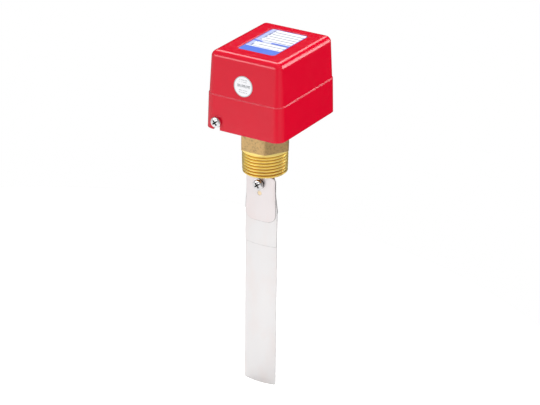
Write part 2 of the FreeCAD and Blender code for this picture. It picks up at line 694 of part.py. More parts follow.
def pivot_block():
    """Block on the stem's upper end. The pin crosses it, and the rocker is screwed to its top."""
    half_x, half_y = BLOCK_WIDTH / 2, BLOCK_DEPTH / 2
    block = box(-half_x, half_x, -half_y, half_y, BLOCK_BOTTOM, BLOCK_TOP)
    block = round_edges(block, BLOCK_EDGE_R, lambda c, d: abs(d.z) > 0.99)
    block = round_edges(block, ROCKER_BEND_R, lambda c, d: abs(d.y) > 0.99 and c.z > BLOCK_TOP - 0.1)
    holes = [cylinder(STEM_R + SEAT, (0, 0, BLOCK_BOTTOM - PAST), (0, 0, STEM_TOP)),
             drilled(PIVOT_R + RUNNING, (-half_x, 0, PIVOT_Z), (1, 0, 0), BLOCK_WIDTH),
             cylinder(M4[0] + THREAD_PLAY, (0, 0, BLOCK_TOP - BLOCK_TAP_DEPTH), (0, 0, BLOCK_TOP + PAST))]
    return cut_all(block, holes)


def rocker():
    """Bent lever: a seat for the range spring in front, ears beside the block, and a narrow tail behind."""
    inner = ROCKER_INNER_WIDTH / 2
    outer = inner + ROCKER_THICKNESS
    ear = BLOCK_TOP - ROCKER_EAR_DROP
    section = sheet_section([(-inner, ear), (-inner, BLOCK_TOP), (inner, BLOCK_TOP), (inner, ear)],
                            ROCKER_THICKNESS, ROCKER_BEND_R, in_xz)
    lever = section.extrude(Vector(0, ROCKER_REAR - ROCKER_FRONT, 0)).translated(Vector(0, ROCKER_FRONT, 0))
    tail = ROCKER_TAIL_WIDTH / 2
    front, rear = ROCKER_FRONT - PAST, ROCKER_REAR + PAST
    shoulder = ROCKER_EAR_REACH + ROCKER_SHOULDER
    trims = [box(-outer, outer, front, -ROCKER_EAR_REACH, ear - PAST, BLOCK_TOP),
             box(-outer, outer, ROCKER_EAR_REACH, rear, ear - PAST, BLOCK_TOP),
             box(tail, outer + PAST, shoulder, rear, ear, ROCKER_TOP + PAST),
             box(-outer - PAST, -tail, shoulder, rear, ear, ROCKER_TOP + PAST)]
    lever = round_edges(cut_all(lever, trims), ROCKER_CORNER_R, rocker_corner)
    boss_top = ROCKER_TOP + SEAT_BOSS_HEIGHT
    boss = revolved([(0, BLOCK_TOP + PAST), (SEAT_BOSS_R, BLOCK_TOP + PAST), (SEAT_BOSS_R, boss_top - BEVEL),
                     (SEAT_BOSS_R - BEVEL, boss_top), (0, boss_top)], 0, SPRING_Y)
    holes = [drilled(M4[0] + HOLE_PLAY, (0, 0, BLOCK_TOP), (0, 0, 1), ROCKER_THICKNESS),
             drilled(M3[0] + THREAD_PLAY, (0, PLUNGER_Y, BLOCK_TOP), (0, 0, 1), ROCKER_THICKNESS)]
    return cut_all(lever.fuse(boss), holes)


def rocker_corner(centre, direction):
    at_end = centre.y > ROCKER_REAR - 0.1 or centre.y < ROCKER_FRONT + 0.1
    return abs(direction.z) > 0.99 and centre.z > BLOCK_TOP and at_end


def rocker_screw():
    return pan_screw(M4, ROCKER_THICKNESS + BLOCK_TAP_DEPTH - PAST, (0, 0, ROCKER_TOP), (0, 0, 1))


def actuator_screw():
    """Slotted grub screw in the rocker's tail, just above the switch's plunger."""
    z0 = PLUNGER_TOP + CONTACT_GAP
    z1 = ROCKER_TOP + ACTUATOR_PROUD
    radius = M3[0]
    screw = revolved([(0, z0), (radius - BEVEL, z0), (radius, z0 + BEVEL), (radius, z1 - FINE_BEVEL),
                      (radius - FINE_BEVEL, z1), (0, z1)], 0, PLUNGER_Y)
    half = ACTUATOR_SLOT_WIDTH / 2
    slot = box(-radius, radius, PLUNGER_Y - half, PLUNGER_Y + half, z1 - ACTUATOR_SLOT_DEPTH, z1 + PAST)
    return screw.cut(slot)


def actuator_nut():
    return hex_nut(ACTUATOR_NUT_FLATS, M3[0] + THREAD_PLAY, ROCKER_TOP, ROCKER_TOP + ACTUATOR_NUT_HEIGHT, 0,
                   PLUNGER_Y)


# ---- Range spring and screw ----------------------------------------------------------------------

def range_spring():
    """Open coil between the rocker's seat and the cup, with the wire's section as a hexagon."""
    height = SPRING_LENGTH - 2 * SPRING_WIRE_R
    helix = Part.makeHelix(height / SPRING_TURNS, height, SPRING_MEAN_R)
    profile = polygon([(SPRING_MEAN_R + SPRING_WIRE_R * math.cos(k * math.pi / 3), 0,
                        SPRING_WIRE_R * math.sin(k * math.pi / 3)) for k in range(6)])
    coil = Part.Wire(helix).makePipeShell([profile], True, True)
    return coil.translated(Vector(0, SPRING_Y, ROCKER_TOP + SPRING_WIRE_R))


def spring_cup():
    """Pressed cup on the coil's upper end, with a socket for the screw's tip."""
    under = SPRING_TOP - CENTRING_HEIGHT
    socket_r = RANGE_SCREW_R + RUNNING
    socket_floor = CUP_TOP - RANGE_SOCKET_DEPTH
    return revolved([(0, under), (CENTRING_R, under), (CENTRING_R, SPRING_TOP), (CUP_R, SPRING_TOP),
                     (CUP_R, CUP_TOP), (socket_r, CUP_TOP), (socket_r, socket_floor), (0, socket_floor)],
                    0, SPRING_Y)


def range_screw():
    """Slotted adjusting screw: its head stops on the nut at the hardest setting."""
    tip = CUP_TOP - RANGE_SOCKET_DEPTH
    neck = BRACKET_WEB_TOP + RANGE_NUT_HEIGHT + RANGE_TRAVEL + CONTACT_GAP
    top = neck + RANGE_HEAD_HEIGHT
    screw = revolved([(0, tip), (RANGE_SCREW_R, tip), (RANGE_SCREW_R, neck), (RANGE_HEAD_R, neck),
                      (RANGE_HEAD_R, top - BEVEL), (RANGE_HEAD_R - BEVEL, top), (0, top)], 0, SPRING_Y)
    half = RANGE_SLOT_WIDTH / 2
    slot = box(-RANGE_HEAD_R, RANGE_HEAD_R, SPRING_Y - half, SPRING_Y + half, top - RANGE_SLOT_DEPTH,
               top + PAST)
    return screw.cut(slot)


def range_nut():
    """Nut riveted on the tower's web, in which the range screw turns."""
    return hex_nut(RANGE_NUT_FLATS, RANGE_SCREW_R + THREAD_PLAY, BRACKET_WEB_TOP,
                   BRACKET_WEB_TOP + RANGE_NUT_HEIGHT, 0, SPRING_Y)


# ---- Snap switch ---------------------------------------------------------------------------------

def switch_bracket():
    """Upright plate for the switch, on two legs whose feet share the fitting's rear screws."""
    front = SWITCH_FRONT - SWITCH_PLATE_THICKNESS
    section = sheet_section([(front, SWITCH_TOP), (front, PLATE_TOP), (SWITCH_FOOT_REAR, PLATE_TOP)],
                            SWITCH_PLATE_THICKNESS, SWITCH_BEND_R, in_yz)
    half = SWITCH_PLATE_HALF_WIDTH
    plate = section.extrude(Vector(2 * half, 0, 0)).translated(Vector(-half, 0, 0))
    plate = round_edges(plate, SWITCH_PLATE_CORNER_R, lambda c, d: abs(d.y) > 0.99 and c.z > SWITCH_TOP - 0.1)
    holes = [cylinder(SPIGOT_R + 2 * HOLE_PLAY, (0, 0, PLATE_BOTTOM), (0, 0, spigot_top() + 2 * HOLE_PLAY))]
    holes += [drilled(M3[0] + HOLE_PLAY, (x, y, PLATE_TOP), (0, 0, 1), SWITCH_PLATE_THICKNESS)
              for x, y in fitting_screw_places()]
    holes += [drilled(M3[0] + THREAD_PLAY, (x, front, SWITCH_HOLE_Z), (0, 1, 0), SWITCH_PLATE_THICKNESS)
              for x in SWITCH_HOLE_PLACES]
    return cut_all(plate, holes)


def switch_case():
    """Moulded case with a ledge for the terminals behind, walls between them and a bore for the plunger."""
    body = box(SWITCH_LEFT, SWITCH_RIGHT, SWITCH_FRONT, SWITCH_REAR, SWITCH_BOTTOM, SWITCH_TOP)
    body = round_edges(body, SWITCH_EDGE_R, lambda c, d: abs(d.y) > 0.99 and c.z > SWITCH_TOP - 0.1)
    ledge = box(SWITCH_LEFT, SWITCH_RIGHT, SWITCH_REAR, LEDGE_REAR, SWITCH_BOTTOM, LEDGE_TOP)
    case = body.fuse(ledge)
    for x in barrier_places():
        case = case.fuse(box(x, x + LEDGE_BARRIER_THICKNESS, SWITCH_REAR, LEDGE_REAR, LEDGE_TOP - PAST,
                             LEDGE_TOP + LEDGE_BARRIER_HEIGHT))
    holes = [drilled(SWITCH_HOLE_R, (x, SWITCH_FRONT, SWITCH_HOLE_Z), (0, 1, 0), SWITCH_DEPTH)
             for x in SWITCH_HOLE_PLACES]
    holes += [cylinder(M3[0] + THREAD_PLAY, (x, terminal_y(), SWITCH_BOTTOM + SWITCH_FLOOR),
                       (x, terminal_y(), LEDGE_TOP + PAST)) for x in TERMINAL_PLACES]
    bore_floor = PLUNGER_TOP - PLUNGER_LENGTH - PLUNGER_TRAVEL - TIP_ROOM
    holes.append(cylinder(PLUNGER_R + RUNNING, (0, PLUNGER_Y, bore_floor), (0, PLUNGER_Y, SWITCH_TOP + PAST)))
    return cut_all(case.removeSplitter(), holes)


def barrier_places():
    """Left edge of each wall: one at each end of the ledge and one half way between two terminals."""
    between = [(a + b - LEDGE_BARRIER_THICKNESS) / 2 for a, b in zip(TERMINAL_PLACES, TERMINAL_PLACES[1:])]
    return [SWITCH_LEFT] + between + [SWITCH_RIGHT - LEDGE_BARRIER_THICKNESS]


def terminal_y():
    return SWITCH_REAR + LEDGE_DEPTH / 2


def switch_plunger():
    z0 = PLUNGER_TOP - PLUNGER_LENGTH
    return revolved([(0, z0), (PLUNGER_R, z0), (PLUNGER_R, PLUNGER_TOP - PIN_BEVEL),
                     (PLUNGER_R - PIN_BEVEL, PLUNGER_TOP), (0, PLUNGER_TOP)], 0, PLUNGER_Y)


def switch_screws():
    reach = SWITCH_DEPTH + SWITCH_PLATE_THICKNESS + TIP_ROOM
    return Part.makeCompound([pan_screw(M3, reach, (x, SWITCH_REAR, SWITCH_HOLE_Z), (0, 1, 0))
                              for x in SWITCH_HOLE_PLACES])


def terminal_plates():
    plates = []
    half = TERMINAL_WIDTH / 2
    for x in TERMINAL_PLACES:
        plate = box(x - half, x + half, SWITCH_REAR + TERMINAL_GAP, LEDGE_REAR - TERMINAL_GAP, LEDGE_TOP,
                    LEDGE_TOP + TERMINAL_THICKNESS)
        hole = drilled(M3[0] + HOLE_PLAY, (x, terminal_y(), LEDGE_TOP), (0, 0, 1), TERMINAL_THICKNESS)
        plates.append(plate.cut(hole))
    return Part.makeCompound(plates)


def terminal_screws():
    seat = LEDGE_TOP + TERMINAL_THICKNESS
    return Part.makeCompound([pan_screw(M3, TERMINAL_SCREW_REACH, (x, terminal_y(), seat), (0, 0, 1))
                              for x in TERMINAL_PLACES])


# ---- Cover and labels ----------------------------------------------------------------------------

def cover_shell(z0, inset0, z1, inset1):
    """Tapered block with round corners between two levels, each inset from the cover's foot outline."""
    wires = []
    for z, inset in ((z0, inset0), (z1, inset1)):
        wires.append(rounded_rectangle(COVER_WIDTH / 2 - inset, COVER_DEPTH / 2 - inset,
                                       COVER_CORNER_R - inset, z, COVER_CENTRE_Y))
    return Part.makeLoft(wires, True, True)


def cover():
    shoulder = COVER_SKIRT_DRAFT + COVER_STEP
    skirt = cover_shell(COVER_BOTTOM, 0, COVER_STEP_Z, COVER_SKIRT_DRAFT)
    hood = cover_shell(COVER_STEP_Z, shoulder, COVER_TOP, shoulder + COVER_UPPER_DRAFT)
    hood = round_edges_at(hood, COVER_EDGE_R, COVER_TOP)
    inner_step = COVER_STEP_Z - COVER_WALL
    low = cover_shell(COVER_BOTTOM - PAST, COVER_WALL, inner_step, COVER_WALL + COVER_SKIRT_DRAFT)
    inset = COVER_WALL + shoulder
    high = cover_shell(inner_step, inset, CAVITY_TOP, inset + COVER_UPPER_DRAFT)
    high = round_edges_at(high, COVER_EDGE_R - COVER_WALL, CAVITY_TOP)
    solid = skirt.fuse(hood)
    hollow = low.fuse(high)
    shell = solid.cut(hollow)
    shell = shell.fuse(cover_ribs().common(solid))
    pocket = rounded_plate(POCKET_WIDTH / 2, POCKET_LENGTH / 2, POCKET_CORNER_R, COVER_TOP - POCKET_DEPTH,
                           COVER_TOP + PAST, POCKET_CENTRE_Y)
    return cut_all(shell, [pocket] + cover_slots() + [cable_notch()])


def round_edges_at(solid, radius, z):
    edges = [e for e in solid.Edges if all(abs(v.Z - z) < 1e-6 for v in e.Vertexes)]
    return solid.makeFillet(radius, edges)


def cover_ribs():
    """Four upright ribs on the side walls. Their feet stand on the base plate."""
    ribs = []
    for y in COVER_RIB_PLACES:
        for side in (1, -1):
            inner = side * (CAVITY_HALF_WIDTH - COVER_RIB_DEPTH)
            outer = side * (COVER_WIDTH / 2 - COVER_WALL / 2)
            ribs.append(box(min(inner, outer), max(inner, outer), y - COVER_RIB_THICKNESS / 2,
                            y + COVER_RIB_THICKNESS / 2, PLATE_TOP, CAVITY_TOP + 0.5))
    return ribs[0].multiFuse(ribs[1:])


def cover_slots():
    """Open-ended slots that let the cover drop over its two screws."""
    slots = []
    half = COVER_SLOT_WIDTH / 2
    for x, y0, y1 in ((-COVER_SCREW_X, COVER_FRONT - PAST, PLATE_FRONT),
                      (COVER_SCREW_X, PLATE_REAR, COVER_REAR + PAST)):
        slots.append(box(x - half, x + half, y0, y1, COVER_BOTTOM - PAST, COVER_SCREW_Z))
        slots.append(cylinder(half, (x, y0, COVER_SCREW_Z), (x, y1, COVER_SCREW_Z)))
    return slots


def cable_notch():
    half = GROMMET_COLLAR_R + 2 * HOLE_PLAY
    slot = box(-half, half, PLATE_REAR, COVER_REAR + PAST, COVER_BOTTOM - PAST, GROMMET_Z)
    return slot.fuse(cylinder(half, (0, PLATE_REAR, GROMMET_Z), (0, COVER_REAR + PAST, GROMMET_Z)))


def cover_screws():
    """One in front at the left, one behind at the right, with their heads just clear of the cover."""
    front = pan_screw(M4, PLATE_FRONT + PLATE_THICKNESS + COVER_SCREW_GRIP - (COVER_FRONT - SCREW_HEAD_GAP),
                      (-COVER_SCREW_X, COVER_FRONT - SCREW_HEAD_GAP, COVER_SCREW_Z), (0, -1, 0))
    rear = pan_screw(M4, COVER_REAR + SCREW_HEAD_GAP - (PLATE_REAR - PLATE_THICKNESS - COVER_SCREW_GRIP),
                     (COVER_SCREW_X, COVER_REAR + SCREW_HEAD_GAP, COVER_SCREW_Z), (0, 1, 0))
    return Part.makeCompound([front, rear])


def name_label():
    floor = COVER_TOP - POCKET_DEPTH
    return rounded_plate(POCKET_WIDTH / 2 - LABEL_MARGIN, POCKET_LENGTH / 2 - LABEL_MARGIN,
                         POCKET_CORNER_R - LABEL_MARGIN, floor, floor + LABEL_THICKNESS, POCKET_CENTRE_Y)


def round_label():
    """Disc on the cover's front, which leans back by its moulding draft."""
    rise = ROUND_LABEL_Z - COVER_STEP_Z
    face_y = COVER_FRONT + COVER_SKIRT_DRAFT + COVER_STEP + rise * math.tan(UPPER_SLOPE)
    outward = (0, -math.cos(UPPER_SLOPE), math.sin(UPPER_SLOPE))
    return turned_to(Part.makeCylinder(ROUND_LABEL_R, LABEL_THICKNESS), (0, face_y, ROUND_LABEL_Z), outward)


# ---- Paddle --------------------------------------------------------------------------------------

def leaf(order, width, bottom, corner_r):
    """One curved strip. Its crown faces -Y, and order counts from the front of the stack."""
    outer_r = LEAF_CURVE_R - order * (LEAF_THICKNESS + LEAF_PLAY)
    neck = LEAF_NECK_WIDTH / 2
    half = width / 2
    right = [(neck, LEAF_TOP), (neck, LEAF_NECK_END), (half, LEAF_SHOULDER_END), (half, bottom)]
    front = LEAF_CROWN_Y - PAST
    outline = [(x, front, z) for x, z in right + [(-x, z) for x, z in reversed(right)]]
    blank = prism(outline, (0, LEAF_CURVE_R / 4, 0))
    blank = round_edges(blank, corner_r, lambda c, d: abs(d.y) > 0.99 and abs(c.z - bottom) < 0.01)
    blank = round_edges(blank, LEAF_TOP_CORNER_R, lambda c, d: abs(d.y) > 0.99 and abs(c.z - LEAF_TOP) < 0.01)
    bar = cylinder(outer_r, (0, LEAF_AXIS_Y, bottom - PAST), (0, LEAF_AXIS_Y, LEAF_TOP + PAST))
    bore = cylinder(outer_r - LEAF_THICKNESS, (0, LEAF_AXIS_Y, bottom - 2 * PAST),
                    (0, LEAF_AXIS_Y, LEAF_TOP + 2 * PAST))
    holes = [cylinder(M4[0] + HOLE_PLAY, (0, front, PADDLE_SCREW_Z), (0, 0, PADDLE_SCREW_Z)),
             cylinder(LOCATING_PIN_R + SEAT, (0, front, LOCATING_PIN_Z), (0, 0, LOCATING_PIN_Z))]
    return cut_all(blank.common(bar.cut(bore)), holes)


def paddle_holder():
    """Brass saddle brazed on the stem. Its face follows the leaves' curve."""
    half = HOLDER_WIDTH / 2
    saddle = box(-half, half, LEAF_CROWN_Y, HOLDER_BACK, HOLDER_BOTTOM, HOLDER_TOP)
    saddle = round_edges(saddle, HOLDER_CORNER_R, lambda c, d: abs(d.z) > 0.99 and c.y > 0)
    saddle = saddle.common(cylinder(HOLDER_FACE_R, (0, LEAF_AXIS_Y, HOLDER_BOTTOM - PAST),
                                    (0, LEAF_AXIS_Y, HOLDER_TOP + PAST)))
    tapped = -STEM_R - SEAT
    holes = [cylinder(STEM_R + SEAT, (0, 0, STEM_BOTTOM - SEAT), (0, 0, HOLDER_TOP + PAST)),
             cylinder(M4[0] + THREAD_PLAY, (0, LEAF_CROWN_Y, PADDLE_SCREW_Z), (0, tapped, PADDLE_SCREW_Z)),
             cylinder(LOCATING_PIN_R + SEAT, (0, LEAF_CROWN_Y, LOCATING_PIN_Z), (0, tapped, LOCATING_PIN_Z))]
    return cut_all(saddle, holes)


def locating_pin():
    return cylinder(LOCATING_PIN_R, (0, LEAF_CROWN_Y + LOCATING_PIN_SUNK, LOCATING_PIN_Z),
                    (0, -STEM_R - 2 * SEAT, LOCATING_PIN_Z))


def flat_washer():
    """Plain washer on the crown of the short leaf."""
    radius, thickness = FLAT_WASHER
    ring = tube(M4[0] + HOLE_PLAY, radius, 0, thickness)
    return turned_to(ring, (0, LEAF_CROWN_Y, PADDLE_SCREW_Z), (0, -1, 0))


def spring_washer():
    """Split washer, drawn flattened as it is when tight."""
    radius, thickness = SPRING_WASHER
    ring = tube(M4[0] + HOLE_PLAY, radius, 0, thickness)
    half = WASHER_SPLIT / 2
    split = box(0, radius + PAST, -half, half, -PAST, thickness + PAST)
    return turned_to(ring.cut(split), (0, LEAF_CROWN_Y - FLAT_WASHER[1], PADDLE_SCREW_Z), (0, -1, 0))


def paddle_screw():
    seat = LEAF_CROWN_Y - FLAT_WASHER[1] - SPRING_WASHER[1]
    reach = -STEM_R - 2 * SEAT - seat
    return pan_screw(M4, reach, (0, seat, PADDLE_SCREW_Z), (0, -1, 0))


# ---- Write one STEP file for each piece ----------------------------------------------------------

PIECES = {
    "pipe_fitting": pipe_fitting(),
    "fitting_gasket": fitting_gasket(),
    "fitting_screws": fitting_screws(),
    "bellows": bellows(),
    "bellows_end": bellows_end(),
    "clamp_ring": clamp_ring(),
    "base_plate": base_plate(),
    "cable_grommet": cable_grommet(),
    "ground_screw": ground_screw(),
    "ground_washer": ground_washer(),
    "chassis_bracket": chassis_bracket(),
    "chassis_screws": chassis_screws(),
    "pivot_pin": pivot_pin(),
    "pivot_clip": pivot_clip(),
    "pivot_spacers": pivot_spacers(),
    "stop_pin": stop_pin(),
    "stem": stem(),
    "pivot_block": pivot_block(),
    "rocker": rocker(),
    "rocker_screw": rocker_screw(),
    "actuator_screw": actuator_screw(),
    "actuator_nut": actuator_nut(),
    "range_spring": range_spring(),
    "spring_cup": spring_cup(),
    "range_screw": range_screw(),
    "range_nut": range_nut(),
    "switch_bracket": switch_bracket(),
    "switch_case": switch_case(),
    "switch_plunger": switch_plunger(),
    "switch_screws": switch_screws(),
    "terminal_plates": terminal_plates(),
    "terminal_screws": terminal_screws(),
    "cover": cover(),
    "cover_screws": cover_screws(),
    "name_label": name_label(),
    "round_label": round_label(),
    "short_leaf": leaf(0, SHORT_LEAF_WIDTH, LEAF_BOTTOMS["short"], SHORT_LEAF_CORNER_R),
    "medium_leaf": leaf(1, LEAF_WIDTH, LEAF_BOTTOMS["medium"], LEAF_CORNER_R),
    "long_leaf": leaf(2, LEAF_WIDTH, LEAF_BOTTOMS["long"], LEAF_CORNER_R),
    "paddle_holder": paddle_holder(),
    "locating_pin": locating_pin(),
    "flat_washer": flat_washer(),
    "spring_washer": spring_washer(),
    "paddle_screw": paddle_screw(),
}

for name, shape in PIECES.items():
    solids = shape.Solids
    print(name, "solids", len(solids), "valid", shape.isValid(), "volume", round(shape.Volume, 1))
    shape.exportStep("parts/" + name + ".step")
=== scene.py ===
"""Paddle flow switch, dressed for rendering.

The plain solids come from the frame. This add-on gives them their finishes, and puts the shapes
that a plain solid leaves out in their place: the tapered thread, cross-recessed screws, the coil
spring, the bellows and the cable bush. Shapes are worked out in millimetres and turned into metres
where a mesh is made. The finishes, the lights and the camera are in metres.
"""
import math
from collections import namedtuple

import bmesh
import bpy
import numpy as np
from mathutils import Matrix, Vector


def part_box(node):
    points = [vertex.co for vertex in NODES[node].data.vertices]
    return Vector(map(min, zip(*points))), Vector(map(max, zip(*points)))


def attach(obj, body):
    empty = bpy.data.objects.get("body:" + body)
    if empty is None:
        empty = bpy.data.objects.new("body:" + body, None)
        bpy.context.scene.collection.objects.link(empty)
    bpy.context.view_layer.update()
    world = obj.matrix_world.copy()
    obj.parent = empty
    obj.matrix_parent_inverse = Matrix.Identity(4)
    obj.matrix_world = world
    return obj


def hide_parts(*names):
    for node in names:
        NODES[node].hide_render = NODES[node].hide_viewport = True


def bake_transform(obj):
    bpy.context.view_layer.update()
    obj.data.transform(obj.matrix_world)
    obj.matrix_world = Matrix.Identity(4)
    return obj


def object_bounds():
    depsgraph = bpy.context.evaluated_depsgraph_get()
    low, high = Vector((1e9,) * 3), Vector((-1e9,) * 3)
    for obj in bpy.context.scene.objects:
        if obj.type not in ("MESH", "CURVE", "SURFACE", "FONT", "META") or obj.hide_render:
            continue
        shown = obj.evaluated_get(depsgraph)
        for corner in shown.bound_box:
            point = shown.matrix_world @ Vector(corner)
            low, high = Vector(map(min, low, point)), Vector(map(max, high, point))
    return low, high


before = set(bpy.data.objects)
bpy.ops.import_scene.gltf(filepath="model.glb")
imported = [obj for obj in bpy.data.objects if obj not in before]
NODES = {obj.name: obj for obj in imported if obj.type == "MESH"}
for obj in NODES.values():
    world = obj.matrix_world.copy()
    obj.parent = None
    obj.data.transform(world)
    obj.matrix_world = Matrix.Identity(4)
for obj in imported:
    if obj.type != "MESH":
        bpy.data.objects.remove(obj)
CAD_BOX = [list(corner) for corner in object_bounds()]
MM = 0.001

bl_info = {
    "name": "Paddle Flow Switch",
    "version": (1, 0, 0),
    "blender": (4, 5, 0),
    "location": "3D View > Sidebar > Flow Switch",
    "description": "Finishes and fine shapes for a paddle flow switch, with its studio",
    "category": "Object",
}

# Sizes of the solids that the new shapes have to meet
THREAD_R = 16.6
GAUGE_R = 16.62
GAUGE_Z = -7.1
TAPER = 1 / 32
THREAD_TOP = -0.4
RUN_OUT = 0.9
NECK_R = 16.45
NECK_BOTTOM = -0.35
HEXAGON_LEDGE = 0.2
SPIGOT_R = 12.6
COUNTERBORE_R = 11.4
RIM_THICKNESS = 0.8
BELLOWS_MEAN_R = 7.1
BELLOWS_FOLD = 1.1
PLATE_THICKNESS = 1.2
SWITCH_PLATE_THICKNESS = 1.5
COVER_SCREW_GRIP = 3.0
WASHER_BORE_R = 2.15
BUSH_BORE_R = 4.5
BUSH_GROOVE = (2.5, 3.7)
BUSH_GROOVE_DEPTH = 2.0

Screw = namedtuple("Screw", "thread head height")
M3 = Screw(1.5, 2.8, 2.0)
M4 = Screw(2.0, 4.0, 2.6)
SMALL_THREAD_PITCH = 0.7

# Grain of the metals, in lines per metre along X, Y and Z
RINGS = (40.0, 40.0, 5000.0)
BAR_RINGS = (60.0, 60.0, 4000.0)
STICKER_LINES = (200.0, 200.0, 5000.0)
LENGTHWISE = (2600.0, 2600.0, 45.0)
PLATED = (260.0, 260.0, 260.0)
DRAWN = (700.0, 700.0, 700.0)
FINE = (900.0, 900.0, 900.0)


def low(node):
    """Lowest corner of a solid, in millimetres."""
    return np.array(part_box(node)[0]) / MM


def high(node):
    """Highest corner of a solid, in millimetres."""
    return np.array(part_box(node)[1]) / MM


def middle(node):
    return (low(node) + high(node)) / 2


# ---- Settings ----

def millimetres(name, text, value, least=0.0):
    return bpy.props.FloatProperty(
        name=name, description=text, default=value, min=least, soft_max=100.0, precision=3)


def colour(name, text, value):
    return bpy.props.FloatVectorProperty(
        name=name, description=text, default=value, min=0.0, max=1.0, size=3, subtype="COLOR")


class FlowSwitchSizes(bpy.types.PropertyGroup):
    """Sizes of the new shapes, in millimetres."""
    thread_pitch: millimetres("Thread pitch", "Distance between the thread's crests", 2.309, 0.5)
    thread_depth: millimetres("Thread depth", "Height of its crests over its roots", 1.35)
    thread_bevel: millimetres("Thread lead-in", "Bevel at the thread's end", 1.2)
    hexagon_round: millimetres("Hexagon edge", "Rounding of the hexagon's upper edge", 0.35)
    bore: millimetres("Fitting bore", "Radius of the bore through the thread", 8.5, 1.0)
    chamber: millimetres("Chamber", "Radius of the chamber round the bellows", 10.6, 1.0)
    chamber_floor: millimetres("Chamber floor", "Depth of its floor under the shoulder", 2.5)
    bellows_folds: bpy.props.IntProperty(
        name="Bellows folds", description="Folds in the bellows", default=7, min=2, max=20)
    bellows_wall: millimetres("Bellows wall", "Wall of the bellows", 0.4, 0.1)
    spring_wire: millimetres("Spring wire", "Radius of the range spring's wire", 0.6, 0.1)
    spring_turns: bpy.props.FloatProperty(
        name="Spring turns", description="Turns of its coil", default=6.0, min=2.0, max=20.0)


class FlowSwitchColours(bpy.types.PropertyGroup):
    """Colours of the finishes."""
    cover: colour("Cover", "Red of the moulded cover", (0.66, 0.0008, 0.021))
    forged: colour("Forged brass", "Skin of the hexagon", (0.63, 0.43, 0.20))
    turned: colour("Turned brass", "Cut faces of the fitting", (1.0, 0.745, 0.235))
    stainless: colour("Stainless", "Rolled leaves of the paddle", (0.88, 0.86, 0.86))
    zinc: colour("Zinc plate", "Plated sheet and screws", (0.70, 0.71, 0.72))
    label: colour("Label ink", "Blue of the label on top", (0.080, 0.170, 0.680))


# ---- Meshes ----

def surface(name, grid, ring=False, material_rows=None):
    """Mesh from a grid of points in millimetres, with one face between each four neighbours.

    grid has the shape (rows, columns, 3). Each row is a closed line, and in a ring the last row is
    joined to the first. Points that fall on one another, as on a pole, are merged, and the faces
    are then turned outwards.
    """
    rows, columns = grid.shape[:2]
    up = rows if ring else rows - 1
    i, j = np.meshgrid(np.arange(up), np.arange(columns), indexing="ij")
    i_next, j_next = (i + 1) % rows, (j + 1) % columns
    faces = np.stack([i * columns + j, i * columns + j_next,
                      i_next * columns + j_next, i_next * columns + j], -1)
    mesh = bpy.data.meshes.new(name)
    mesh.from_pydata((grid.reshape(-1, 3) * MM).tolist(), [], faces.reshape(-1, 4).tolist())
    if material_rows is not None:
        material_of_face = np.repeat(material_rows[:up], columns).astype(np.int32)
        mesh.polygons.foreach_set("material_index", material_of_face)
    shell = bmesh.new()
    shell.from_mesh(mesh)
    bmesh.ops.remove_doubles(shell, verts=shell.verts, dist=2e-7)
    bmesh.ops.recalc_face_normals(shell, faces=shell.faces)
    shell.to_mesh(mesh)
    shell.free()
    return mesh


def join(name, meshes):
    """One mesh that holds the faces of several."""
    whole = bmesh.new()
    for mesh in meshes:
        whole.from_mesh(mesh)
        bpy.data.meshes.remove(mesh)
    result = bpy.data.meshes.new(name)
    whole.to_mesh(result)
    whole.free()
    return result


def put(name, data):
    """Puts a new object with this data into the scene."""
    made = bpy.data.objects.new(name, data)
    bpy.context.scene.collection.objects.link(made)
    return made


def piece(name, mesh, body, finishes, replaced=(), sharp=35):
    """Puts a mesh into the scene as a piece, smooth except over edges sharper than sharp degrees.

    A piece given no body is put into the scene on its own.
    """
    made = put(name, mesh)
    for finish in finishes:
        mesh.materials.append(bpy.data.materials[finish])
    mesh.polygons.foreach_set("use_smooth", np.ones(len(mesh.polygons), bool))
    mesh.set_sharp_from_angle(angle=math.radians(sharp))
    if body:
        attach(made, body)
    if replaced:
        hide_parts(*replaced)
    return made


def turn(angles, radius, height):
    """Points of a turned shape: (radius cos angle, radius sin angle, height).

    The radius is given for each row and, where it changes round the axis, for each angle too.
    """
    radius = radius if np.ndim(radius) == 2 else np.asarray(radius)[:, None]
    height = np.asarray(height)[:, None] + 0 * angles
    return np.stack([radius * np.cos(angles), radius * np.sin(angles), height], -1)


def circle(count):
    return np.linspace(0, 2 * math.pi, count, endpoint=False)


def aimed(grid, origin, axis):
    """Turns points drawn along +Z so that they run along axis from origin."""
    spin = np.array(Vector((0, 0, 1)).rotation_difference(Vector(axis)).to_matrix())
    return grid @ spin.T + np.asarray(origin, float)


def rounded(outline, corner, steps=5):
    """Replaces each corner of an open outline of (radius, height) by an arc-like bend.

    The bend is the quadratic curve from the point one corner before the vertex, through the vertex
    as its control, to the point one corner after it: (1-t)^2 a + 2t(1-t) v + t^2 b.
    """
    points = np.asarray(outline, float)
    before, here, after = points[:-2], points[1:-1], points[2:]
    back, on = before - here, after - here
    back_length = np.linalg.norm(back, axis=1, keepdims=True)
    on_length = np.linalg.norm(on, axis=1, keepdims=True)
    reach = np.minimum(corner, 0.45 * np.minimum(back_length, on_length))
    a, b = here + back / back_length * reach, here + on / on_length * reach
    t = np.linspace(0, 1, steps)[None, :, None]
    bends = (1 - t) ** 2 * a[:, None] + 2 * t * (1 - t) * here[:, None] + t ** 2 * b[:, None]
    return np.vstack([points[:1], bends.reshape(-1, 2), points[-1:]])


